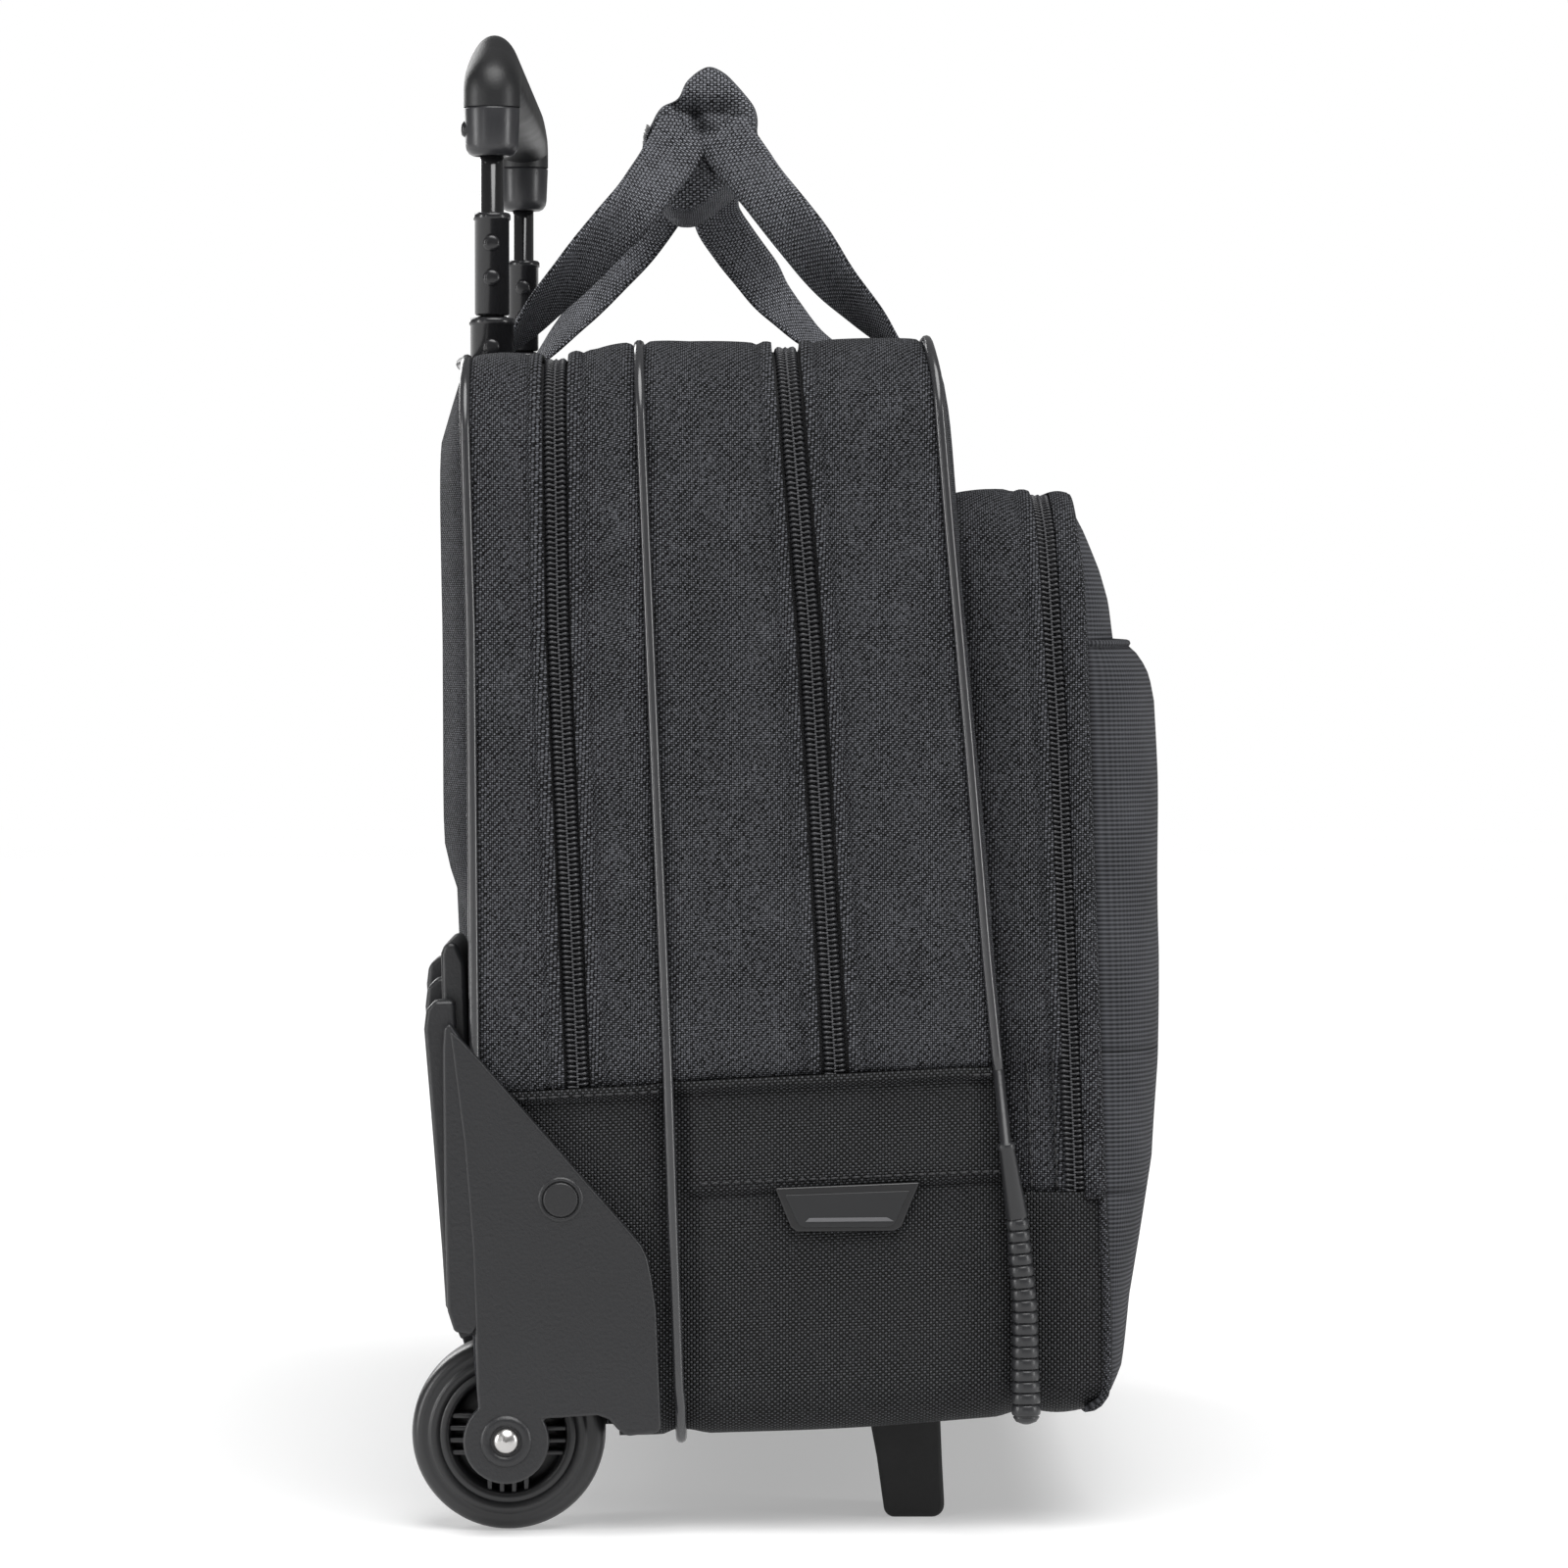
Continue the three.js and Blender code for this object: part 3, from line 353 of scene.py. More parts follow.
def curve_points(keys, steps):
    """A smooth route of steps points through the keys."""
    keys = [np.array(k, dtype=float) for k in keys]
    keys = [2 * keys[0] - keys[1]] + keys + [2 * keys[-1] - keys[-2]]
    spans = len(keys) - 3
    points = []
    for i in range(steps):
        t = i / (steps - 1) * spans
        k = min(int(t), spans - 1)
        t -= k
        a, b, c, d = keys[k:k + 4]
        points.append(tuple(0.5 * (2 * b + (c - a) * t + (2 * a - 5 * b + 4 * c - d) * t * t
                                   + (3 * b - a - 3 * c + d) * t ** 3)))
    return points


def resample(route, spacing=1.0, count=0):
    """Evenly spaced points along a route: count of them, or else about spacing apart."""
    route = np.array(route, dtype=float)
    lengths = np.r_[0, np.cumsum(np.linalg.norm(np.diff(route, axis=0), axis=1))]
    places = np.linspace(0, lengths[-1], count or max(2, int(lengths[-1] / spacing) + 1))
    return [tuple(np.interp(s, lengths, route[:, k]) for k in range(3)) for s in places]


def lathe(name, axis, profile, centre, steps=32):
    """A turned piece; profile is (place along the axis, radius) points, and axis counts X as 0."""
    rows = []
    for place, radius in profile:
        row = []
        for k, turn in enumerate(circle(steps)):
            reach = [radius * share for share in turn]
            reach.insert(axis, place)
            row.append((tuple(c + r for c, r in zip(centre, reach)),
                        (radius * 6.28 * k / steps, place)))
        rows.append(row)
    return grid(name, rows)


def prism(name, outline, low_x, high_x, bevel, segments=3):
    """A Y-Z outline drawn out along X, with rounded edges."""
    count = len(outline)
    points = [(x, y, z) for x in (low_x, high_x) for y, z in outline]
    area = sum(a[0] * b[1] - b[0] * a[1] for a, b in zip(outline, outline[1:] + outline[:1]))
    faces = [tuple(range(count)), tuple(range(2 * count - 1, count - 1, -1))]
    faces += [(i, i + count, (i + 1) % count + count, (i + 1) % count) for i in range(count)]
    if area > 0:
        faces = [tuple(reversed(face)) for face in faces]
    obj = mesh(name, points, faces, [(p[1], p[2]) for p in points])
    modifier = obj.modifiers.new("round", "BEVEL")
    modifier.width, modifier.segments = bevel * MM, segments
    modifier.limit_method, modifier.angle_limit = "ANGLE", radians(35)
    modifier.harden_normals = True
    return obj


def arc(cy, cz, radius, first, last, steps):
    turns = [radians(first + (last - first) * i / steps) for i in range(steps + 1)]
    return [(cy + radius * cos(t), cz + radius * sin(t)) for t in turns]


def on_both_sides(obj, body, look, *nodes):
    """Finishes a left-hand piece and its twin on the right. nodes are given for the left."""
    twin = obj.copy()
    twin.data = obj.data.copy()
    twin.name = twin.data.name = obj.name.replace("_left", "_right")
    bpy.context.collection.objects.link(twin)
    twin.data.transform(Matrix.Diagonal((-1, 1, 1, 1)))
    twin.data.flip_normals()
    dress(obj, body, look, *nodes)
    dress(twin, body.replace("_left", "_right"), look,
          *(node.replace("_left", "_right") for node in nodes))


# ---- Loops over and under the bag ----
class Loop:
    """Stations on a path up the left side, round a corner, across and down the right side.

    start(y) and end(y) give the height where the side begins and where the corner begins; way is 1
    for a loop over the top and -1 for one under the bottom.
    """
    CORNER_STEPS, TOP_STEPS = 9, 40

    def __init__(self, half_width, corner, start, end, way=1, side_step=6.0):
        self.start, self.end, self.way = start, end, way
        steps = max(2, int(abs(end(0) - start(0)) / side_step))
        stations = [(i / steps, -half_width, 0.0, -1.0, 0.0) for i in range(steps)]
        for i in range(self.CORNER_STEPS + 1):
            turn = pi / 2 * i / self.CORNER_STEPS
            c, s = cos(turn), sin(turn)
            stations.append((1.0, -half_width + corner * (1 - c), way * corner * s, -c, way * s))
        inner = half_width - corner
        middle = [(1.0, -inner + 2 * inner * i / self.TOP_STEPS, way * corner, 0.0, way)
                  for i in range(1, self.TOP_STEPS)]
        mirrored = [(share, -x, dz, -nx, nz) for share, x, dz, nx, nz in reversed(stations)]
        self.stations = stations + middle + mirrored

    def point(self, station, curve, out=0.0):
        """The point at a station on a curve y(z), pushed out by out(x, y, z) or a number."""
        share, x, dz, nx, nz = station
        far = curve(400.0 if self.way > 0 else 0.0)
        start, end = self.start(far), self.end(far)
        z = start + share * (end - start) + dz
        y = curve(z)
        push = out(x, y, z) if callable(out) else out
        return (x + nx * push, y, z + nz * push)

    def route(self, curve, out=0.0):
        return [self.point(station, curve, out) for station in self.stations]

    def strip(self, name, front, back, out, columns, keep=None):
        """A sheet between two (curve, shift) lines. out(share, x, y, z) is its swell across."""
        front, back = shifted(*front), shifted(*back)
        shares = [0.5 - 0.5 * cos(pi * i / columns) for i in range(columns + 1)]
        rows, run, before = [], 0.0, None
        for station in self.stations:
            row = [self.point(station, lambda z: front(z) * (1 - share) + back(z) * share,
                              lambda x, y, z: out(share, x, y, z)) for share in shares]
            if before:
                run += dist(row[columns // 2], before)
            before = row[columns // 2]
            rows.append([(p, (p[1], run)) for p in row])
        return grid(name, rows, False, keep)


bag_top, bag_bottom = shifted(top_line, -TOP_CORNER), shifted(bottom_line, BOTTOM_CORNER)
pocket_top = level(POCKET_TOP_Z - POCKET_CORNER)
over_bag = Loop(HALF_WIDTH, TOP_CORNER, shifted(hem_line, -1.5), bag_top)
over_pocket = Loop(POCKET_HALF_WIDTH, POCKET_CORNER, level(FOLD_Z - 2), pocket_top)
under_bag = Loop(HALF_WIDTH, BOTTOM_CORNER, hem_line, bag_bottom, way=-1, side_step=1.3)
under_pocket = Loop(POCKET_HALF_WIDTH, BOTTOM_CORNER, level(FOLD_Z),
                    level(POCKET_LOW_Z + BOTTOM_CORNER), way=-1, side_step=3.0)


# ---- Upper cloth sections ----
def section_swell(front_is_zip, back_is_zip, width):
    """Swell across a section: it dips into a piping seam and lies over a zipper's tape."""
    def swell(share, x, y, z):
        edge = 0.0
        for distance, is_zip in ((share * width, front_is_zip), ((1 - share) * width, back_is_zip)):
            if is_zip:
                edge += 0.9 * (1 - smooth(1.0, 3.5, distance)) - 0.5 * bell(distance, 4.2, 1.2)
            else:
                edge -= 1.6 * (1 - smooth(0.0, 3.0, distance))
        tuck = 2.6 * (1 - smooth(0.5, 4.0, z - hem_line(y)))
        return (1.6 * sin(pi * share) ** 0.7 + edge + wrinkle(x, y, z, 38, 0.9)
                + wrinkle(x, y, z, 13, 0.25) - tuck)
    return swell


def make_sections():
    for name, front, back, zips, width, body in (
        ("rear", (rear_zip, 5.0), (back_seam, -1.2), (True, False), 26, "bag"),
        ("laptop", (middle_seam, 1.2), (rear_zip, -5.0), (False, True), 21, "bag"),
        ("center", (front_zip, 5.0), (middle_seam, -1.2), (True, False), 42, "bag"),
        ("front", (front_seam, 1.2), (front_zip, -5.0), (False, True), 42, "front_section"),
    ):
        cloth = over_bag.strip(f"{name}_cloth", front, back, section_swell(*zips, width), 24)
        dress(cloth, body, POLYESTER, f"{name}_gusset", thickness=1.6)


# ---- Stitches ----
def stitch(a, b, radius):
    """A stitch lying between two points: a short spindle."""
    a, b = Vector(a), Vector(b)
    along = b - a
    across = along.normalized().orthogonal()
    other = along.normalized().cross(across)
    points = [tuple(a)]
    for share, size in ((0.18, 0.8), (0.5, 1.0), (0.82, 0.8)):
        points += [tuple(a + along * share + (across * c + other * s) * radius * size)
                   for c, s in circle(5)]
    points.append(tuple(b))
    faces = []
    for k in range(5):
        n = (k + 1) % 5
        faces += [(0, 1 + n, 1 + k), (1 + k, 1 + n, 6 + n, 6 + k), (6 + k, 6 + n, 11 + n, 11 + k),
                  (11 + k, 11 + n, 16)]
    return points, faces


def stitch_row(route, pitch=3.3, length=2.5, radius=0.33):
    points = [np.array(p) for p in resample(route, pitch)]
    return [stitch(a, a + (b - a) * length / pitch, radius) for a, b in zip(points, points[1:])]


def make_stitches():
    def on_cloth(x, y, z):
        return 1.5 + wrinkle(x, y, z, 38, 0.9) + wrinkle(x, y, z, 13, 0.25)
    rows = {"bag": [], "front_section": [], "organizer": []}
    for loop, out, curve, body, shifts in (
        (over_bag, on_cloth, rear_zip, "bag", (7.4, -7.4, -17.5)),
        (over_bag, on_cloth, front_zip, "bag", (7.6, 17)),
        (over_bag, on_cloth, front_zip, "front_section", (-7.6, -17.5)),
        (over_pocket, 0.9, pocket_zip, "front_section", (5.6, 13.5)),
        (over_pocket, 0.9, pocket_zip, "organizer", (-4.6,)),
    ):
        for shift in shifts:
            rows[body] += stitch_row(loop.route(shifted(curve, shift), out))
    for side in (-1, 1):
        for ys, out, curve, shift in ((np.arange(-63, 30.5, 3.0), 2.6, hem_line, -2.0),
                                      (np.arange(39, 92, 3.0), 2.6, hem_line, -2.0),
                                      (np.arange(-66, 30, 3.0), 1.9, base_seam_line, 2.6)):
            x = side * (HALF_WIDTH + out)
            rows["bag"] += stitch_row([(x, y, curve(y) + shift) for y in ys])
    for body, parts in rows.items():
        dress(many(f"stitches_{body}", parts), body, THREAD)


# ---- Zippers ----
TOOTH_PITCH = 1.6
TOOTH_SHAPE = (  # distance from the zipper's line, height, slant along it, radius
    (-0.35, 0.35, 0.0, 0.2), (0.0, 0.75, 0.0, 0.5), (0.45, 0.55, 0.0, 0.3), (0.95, 0.5, 0.03, 0.26),
    (1.6, 0.8, 0.08, 0.36), (2.3, 0.85, 0.12, 0.46), (2.9, 0.35, 0.14, 0.44),
    (3.3, -0.5, 0.12, 0.3),
)


def teeth(loop, curve, side):
    """One half of a coil: small hooked loops that lie across the zipper's line."""
    middle = resample(loop.route(curve), TOOTH_PITCH)
    beside = resample(loop.route(shifted(curve, side)), count=len(middle))
    above = resample(loop.route(curve, 1.0), count=len(middle))
    middle, beside, above = np.array(middle), np.array(beside), np.array(above)
    parts = []
    for i in range(len(middle) - 1):
        ahead = middle[i + 1] - middle[i]
        centre = middle[i] + ahead * (0.5 if side > 0 else 0.0)
        ahead = ahead / np.linalg.norm(ahead)
        across, up = beside[i] - middle[i], above[i] - middle[i]
        route = [centre + across * d + up * h + ahead * lean for d, h, lean, _ in TOOTH_SHAPE]
        parts.append(tube_mesh(route, [r for *_, r in TOOTH_SHAPE], 6))
    return parts


def make_zippers():
    """Coil zippers: two half coils and two tapes each, the front ones and the back ones apart."""
    for name, loop, curve, tape_half, halves in (
        ("rear_zipper", over_bag, rear_zip, 8.5, (("bag", "rear_zipper"), ("bag",))),
        ("front_zipper", over_bag, front_zip, 8.5,
         (("front_section", "front_zipper_front"), ("bag", "front_zipper_back"))),
        ("pocket_zipper", over_pocket, pocket_zip, 5.5,
         (("organizer", "pocket_zipper_front"), ("front_section", "pocket_zipper_back"))),
    ):
        for part, side, (body, *nodes) in zip(("front", "back"), (-1, 1), halves):
            dress(many(f"{name}_coil_{part}", teeth(loop, curve, side)), body, COIL, *nodes)
            near, far = sorted((side * 0.35, side * tape_half))
            tape = loop.strip(f"{name}_tape_{part}", (curve, near), (curve, far),
                              lambda share, x, y, z: -1.1, 4)
            dress(tape, body, TAPE, thickness=0.7)


# ---- Pipings and bumper cords ----
PIPE_RADIUS = 1.7
PIPE_RISE = 1.2


def make_pipings():
    tube_bow = 3.6
    back = [(x, y + tube_bow * (1 - smooth(150, 185, abs(x))) * smooth(345, 360, z), z) for x, y, z
            in Loop(HALF_WIDTH, TOP_CORNER, level(78), bag_top).route(back_seam, PIPE_RISE)]

    seam_y, radius = middle_seam(30), BOTTOM_CORNER + PIPE_RISE
    floor_z = bottom_line(seam_y) - PIPE_RISE
    low_right = []
    for i in range(1, 7):
        turn = pi / 2 * i / 6
        low_right.append((HALF_WIDTH + PIPE_RISE - radius * (1 - cos(turn)), seam_y,
                          floor_z + radius * (1 - sin(turn))))
    low_right.append((1.5, seam_y, floor_z))
    over = Loop(HALF_WIDTH, TOP_CORNER, bag_bottom, bag_top).route(middle_seam, PIPE_RISE)
    middle = [(-x, y, z) for x, y, z in reversed(low_right)] + over + low_right

    front = Loop(HALF_WIDTH, TOP_CORNER, level(143), bag_top).route(front_seam, PIPE_RISE)
    for name, route, body in (("back", back, "bag"), ("middle", middle, "bag"),
                              ("front", front, "front_section")):
        dress(tube(f"{name}_piping_cord", resample(route, 5), PIPE_RADIUS), body, VINYL,
              f"{name}_piping")


RING_TOP_Z, RING_LOW_Z, RING_COUNT = 98, 37.5, 17
SLEEVE_TOP_Z = 121.0


def make_bumpers():
    """The cord goes into a smooth sleeve and then into a bumper of rings that grow downwards."""
    stops = [(143.5, PIPE_RADIUS), (SLEEVE_TOP_Z + 0.4, PIPE_RADIUS), (SLEEVE_TOP_Z + 0.2, 2.5),
             (SLEEVE_TOP_Z - 0.4, 2.75), (SLEEVE_TOP_Z - 1.6, 2.75), (SLEEVE_TOP_Z - 2.0, 2.45),
             (RING_TOP_Z + 0.5, 3.5)]
    pitch = (RING_TOP_Z - RING_LOW_Z) / RING_COUNT
    for ring in range(RING_COUNT):
        radius = 3.45 + 1.0 * ring / (RING_COUNT - 1)
        stops += [(RING_TOP_Z - ring * pitch - share * pitch, radius + grow) for share, grow in (
            (0.0, -0.9), (0.06, -0.2), (0.16, 0.0), (0.5, 0.1), (0.82, 0.0), (0.92, -0.2),
            (0.98, -0.9))]
    stops += [(RING_LOW_Z - 0.4, 4.1), (RING_LOW_Z - 1.8, 3.2), (RING_LOW_Z - 2.6, 1.2)]
    for side, node in SIDES:
        route = [(side * (HALF_WIDTH + PIPE_RISE + 0.9 * smooth(143, 132, z)), front_seam(z), z)
                 for z, _ in stops]
        cord = tube(f"bumper_cord_{node}", route, [radius for _, radius in stops], 20)
        dress(cord, "bag", BUMPER, f"bumper_{node}")


# ---- Base ----
def base_out(share, x, y, z):
    """The base cloth: a folded band at the hem, a seam lower down, and a soft swell."""
    below_hem = hem_line(y) - z
    out = 2.0 * (1 - smooth(3.2, 3.8, below_hem)) - 0.6 * bell(below_hem, 4.2, 0.6)
    if y < 31:
        under_seam = base_seam_line(y) - z
        out += 1.1 * (1 - smooth(0.0, 0.5, under_seam)) - 0.7 * bell(under_seam, 0.9, 0.7)
    edge = -1.4 * (1 - smooth(0.0, 0.08, min(share, 1 - share)))
    return out + edge + 0.7 * sin(pi * share) + wrinkle(x, y, z, 45, 0.7)


def clear_of_wheel(x, y, z):
    in_well = hypot(y - AXLE_Y, z - AXLE_Z) < 35 or (y > AXLE_Y and z < 64)
    return not (abs(x) > 170 and in_well)


def make_base():
    for name, front, back, columns, keep, nodes in (
        ("front", (front_seam, 1.2), (middle_seam, -1.4), 40, None,
         ("base_side_front_left", "base_side_front_right", "base_bottom")),
        ("rear", (middle_seam, 1.4), (back_seam, -1.2), 30, clear_of_wheel,
         ("base_side_rear_left", "base_side_rear_right")),
    ):
        cloth = under_bag.strip(f"base_{name}_cloth", front, back, base_out, columns, keep)
        dress(cloth, "bag", BALLISTIC, *nodes, thickness=1.8)


# ---- Back panel and front wall ----
def dish(name, half_width, low, high, corner_low, corner_high, depth):
    """A panel filling a round-cornered oblong; depth(share, x, z) gives y, share 0 at its edge."""
    outline, rings = [], 22
    for side, edge, corner, first in ((1, high, corner_high, 0), (-1, high, corner_high, 90),
                                      (-1, low, -corner_low, 180), (1, low, -corner_low, 270)):
        outline += arc(side * (half_width - abs(corner)), edge - corner, abs(corner), first,
                       first + 90, 8)
    even = resample([(x, 0, z) for x, z in outline + outline[:1]], 9.0)[:-1]
    mid_z = (low + high) / 2
    inner_half = half_width - (high - low) / 2
    rows = []
    for ring in range(rings + 1):
        share = 1 - (1 - ring / rings) ** 1.6 if ring < rings else 1.0
        row = []
        for x, _, z in even:
            cx = max(-inner_half, min(inner_half, x))
            px, pz = x + (cx - x) * share, z + (mid_z - z) * share
            row.append(((px, depth(share, px, pz), pz), (px, pz)))
        rows.append(row)
    return grid(name, rows)


def back_depth(share, x, z):
    margin = 0.14 - 0.07 * (1 - smooth(70, 120, z))
    swell = 8.4 * smooth(0.0, margin, share) + 1.2 * sin(pi * (z - 40) / 320)
    low = 1 - 0.25 * (1 - smooth(150, 230, z))
    low *= 1 - 0.75 * smooth(132, 152, abs(x)) * (1 - smooth(182, 215, z))
    return back_seam(z) + 0.6 + swell * low + wrinkle(x, 0, z, 70, 1.3) * share


def front_depth(share, x, z):
    return front_seam(z) - 0.6 - 3.0 * smooth(0.0, 0.12, share) + wrinkle(x, 9, z, 60, 1.2)


def low_front_depth(share, x, z):
    """The base's front wall; it stands back behind the pocket's gusset."""
    clear = 0.24 * (142 - z) * smooth(90, 99, z) * (1 - smooth(204, 209, abs(x)))
    return front_seam(z) - 0.2 + max(0.0, clear)


def make_panels():
    back = dish("back_panel_cloth", HALF_WIDTH - 1.0, 36, 361, 12, 27, back_depth)
    dress(back, "bag", POLYESTER, "back_panel", thickness=1.8, offset=1.0)
    front = dish("front_wall_cloth", HALF_WIDTH - 1.0, 146, 366.5, 4, 27, front_depth)
    dress(front, "front_section", POLYESTER, "front_wall", thickness=1.8)
    low_front = dish("base_front_wall_cloth", HALF_WIDTH - 3.0, 38, 145, 12, 4, low_front_depth)
    dress(low_front, "bag", BALLISTIC, "base_front", thickness=1.8)


# ---- Organizer pocket ----
FACE_HALF_WIDTH = POCKET_HALF_WIDTH - 1.2
FACE_STEP = 3.0
PANEL_SQUARENESS, SLIP_SQUARENESS = 16, 12


def face_rise(share, squareness):
    return max(0.0, 1 - abs(share) ** squareness) ** 0.55


def face_piece(name, low, high, face, squareness, body, *nodes):
    """A ribbed sheet from the left pocket edge to the right one that bulges to face(z)."""
    rows = []
    for z in np.linspace(low, high, int((high - low) / FACE_STEP) + 1):
        corner = max(0.0, z - (POCKET_TOP_Z - POCKET_CORNER))
        pull_in = POCKET_CORNER - sqrt(max(POCKET_CORNER ** 2 - corner ** 2, 0.0))
        row = []
        for share in even_shares(64):
            x, rise = share * (FACE_HALF_WIDTH - pull_in), face_rise(share, squareness)
            sag = 1.2 * (1 - share * share) + wrinkle(x, 3, z, 55, 1.0) * rise
            row.append(((x, pocket_edge(z) + (face(z) - sag - pocket_edge(z)) * rise, z), (x, z)))
        rows.append(row)
    return dress(grid(name, rows, False), body, RIBBED, *nodes, thickness=1.6)


def make_pocket():
    gusset = over_pocket.strip("pocket_gusset_cloth", (pocket_zip, 3.6), (front_seam, -2.0),
                               section_swell(True, False, 22), 16)
    dress(gusset, "front_section", POLYESTER, "pocket_gusset", thickness=1.5)
    rim = over_pocket.strip("organizer_rim_cloth", (pocket_edge, 0.2), (pocket_zip, -3.4),
                            lambda share, x, y, z: 0.4 + 0.5 * sin(pi * share), 8)
    dress(rim, "organizer", POLYESTER, thickness=1.4)

    panel = face_piece("organizer_face", FOLD_END_Z, POCKET_TOP_Z - 1.0, panel_face,
                       PANEL_SQUARENESS, "organizer", "organizer_panel")
    face_piece("slip_pocket_face", FOLD_END_Z, SLIP_TOP_Z, slip_face, SLIP_SQUARENESS, "organizer",
               "slip_pocket")
    edge = pocket_edge(SLIP_TOP_Z)
    top_route = [(share * FACE_HALF_WIDTH,
                  edge + (slip_face(SLIP_TOP_Z) - 0.4 - edge) * face_rise(share, SLIP_SQUARENESS),
                  SLIP_TOP_Z + 0.2) for share in even_shares(60)]
    dress(tube("slip_pocket_hem", resample(top_route, 6), 1.1, 8), "organizer", RIBBED)

    def binding(name, route, body):
        return dress(tube(name, route, 1.5, 8), body, POLYESTER)
    high = Loop(POCKET_HALF_WIDTH, POCKET_CORNER, level(BINDING_FOLD_END_Z), pocket_top)
    binding("organizer_binding", resample(high.route(pocket_edge, 0.2), 4), "organizer")

    # The fold: these pieces lie where the pocket turns on the part below it; they ride no body.
    for name, face, squareness in (("organizer_fold", panel_face, PANEL_SQUARENESS),
                                   ("slip_pocket_fold", slip_face, SLIP_SQUARENESS)):
        fold = face_piece(name, FOLD_Z - 0.8, FOLD_END_Z - 0.2, face, squareness, None)
        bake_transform(fold)
    for side, name in SIDES:
        route = [(side * (POCKET_HALF_WIDTH + 0.2), pocket_edge(z), z)
                 for z in np.linspace(FOLD_Z - 0.7, BINDING_FOLD_END_Z - 0.1, 10)]
        fold = binding(f"organizer_fold_binding_{name}", route, None)
        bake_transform(fold)

    # The lower end of the pocket: it lies between the base and the front section; these pieces ride
    # no body.
    def lower_swell(share, x, y, z):
        return 0.5 + 1.2 * sin(pi * share) + wrinkle(x, y, z, 40, 0.8)
    lower = under_pocket.strip("pocket_lower_cloth", (pocket_edge, 0.2), (front_seam, -2.0),
                               lower_swell, 14)
    for piece in (
        dress(lower, None, BALLISTIC, "pocket_lower", thickness=1.6),
        face_piece("pocket_lower_face", POCKET_LOW_Z, FOLD_Z - 1, slip_face, SLIP_SQUARENESS, None),
        binding("pocket_lower_binding", resample(under_pocket.route(pocket_edge, 0.2), 4), None),
    ):
        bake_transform(piece)


# ---- Badge ----
BADGE = [(3.4, 107.6), (-41.2, 109.4), (-35.6, 95.6), (-33.4, 94.2), (-3.4, 94), (-1.4, 95.4)]
BADGE_LINE = [(-31, 98.6), (-33.2, 97.4), (-6.0, 97.2), (-7.2, 98.4)]


def make_badge():
    face_x = -HALF_WIDTH - 1.2
    y0, z0 = np.mean(BADGE, axis=0)
    plate = [(y0 + (y - y0) * 0.86, z0 + (z - z0) * 0.74) for y, z in BADGE]
    for name, outline, low, high, bevel, segments, look, nodes in (
        ("badge_rim", BADGE, -1.9, 1.0, 0.7, 3, BADGE_RIM, ("badge",)),
        ("badge_plate", plate, -2.3, -1.0, 0.3, 3, BADGE_PLATE, ()),
        ("badge_stripe", BADGE_LINE, -2.6, -2.0, 0.15, 2, BADGE_STRIPE, ()),
    ):
        piece = prism(name, outline, face_x + low, face_x + high, bevel, segments)
        dress(piece, "bag", look, *nodes)


# ---- Wheel housings ----
SIDE_PLATE = [
    (102.9, 156.2), (99.5, 153.5), (93.5, 147), (46.5, 93), (44, 90), (42.2, 86), (41, 80),
    (39.6, 70), (38.1, 34), (39.5, 32.6), (48.5, 31.5), (51.5, 33.6), (54.2, 36.6), (57.5, 37.9),
    (72.6, 37), *arc(AXLE_Y, AXLE_Z, 13.2, 150, 410, 26), (94.6, 46), (95.2, 70), (96, 90),
    (98.6, 122),
]
HOUSING_BACK = [(94, 66), (96, 62.5), (101.5, 63.5), (103.4, 70), (104.2, 100), (105.4, 150),
                (106, 179), (104.6, 182.4), (101.4, 182.4), (98.5, 176), (96.5, 120)]
HOUSING_CORNER = [(93.8, 66), (96, 62.5), (101.5, 63.5), (103.6, 70), (104.4, 100), (105, 150),
                  (104.6, 157), (102.8, 158.4), (98.5, 152), (95.5, 120)]
WHEEL_ARCH = (arc(AXLE_Y, AXLE_Z, 34, 168, 66, 30)
              + arc(AXLE_Y, AXLE_Z, 36.4, 168, 66, 30)[::-1])
WELL_CHEEK = arc(AXLE_Y, AXLE_Z, 35, 168, 62, 24) + arc(AXLE_Y, AXLE_Z, 9.0, 20, -200, 18)
PLUG_Y, PLUG_Z = 68.9, 104.2


def make_housings():
    rails = []
    for index, (x, top_z, reach) in enumerate(
            ((-215, 165, 0.0), (-199, 171, 0.4), (-183, 177, 0.8))):
        outline = [(99, 64.5), (101.8, 66), (104.4, 71), (105.5, 88), (108, 120),
                   (110.9 + reach, top_z - 9), (110.2 + reach, top_z - 3), (107.6, top_z),
                   (101.5, top_z), (99.5, 120)]
        rails.append((f"skid_rail_{index}", outline, x, x + 9, 1.8, 4))
    for name, *shape in (
        ("housing_plate", SIDE_PLATE, -220, -215.4, 2.2, 5),
        ("housing_back", HOUSING_BACK, -208, -150.5, 1.6, 4),
        ("housing_corner", HOUSING_CORNER, -219.6, -205, 2.2, 5), *rails,
        ("wheel_arch", WHEEL_ARCH, -217, -177, 0.4, 1),
        ("wheel_well_cheek", WELL_CHEEK, -178.6, -176, 0.6, 2),
    ):
        nodes = ("wheel_housing_left",) if name == "housing_plate" else ()
        on_both_sides(prism(f"{name}_left", *shape), "bag", MOULDED, *nodes)
    plug = prism("housing_plug_left", arc(PLUG_Y, PLUG_Z, 5.4, 0, 345, 23), -221, -219.2, 0.7, 3)
    on_both_sides(plug, "bag", (HUB[0], "moulded"))
    seat = [(-220.05, 5.5), (-220.5, 5.7), (-220.5, 6.5), (-220, 6.9)]
    seat = lathe("housing_plug_seat_left", 0, seat, (0, PLUG_Y, PLUG_Z), 36)
    on_both_sides(seat, "bag", MOULDED)


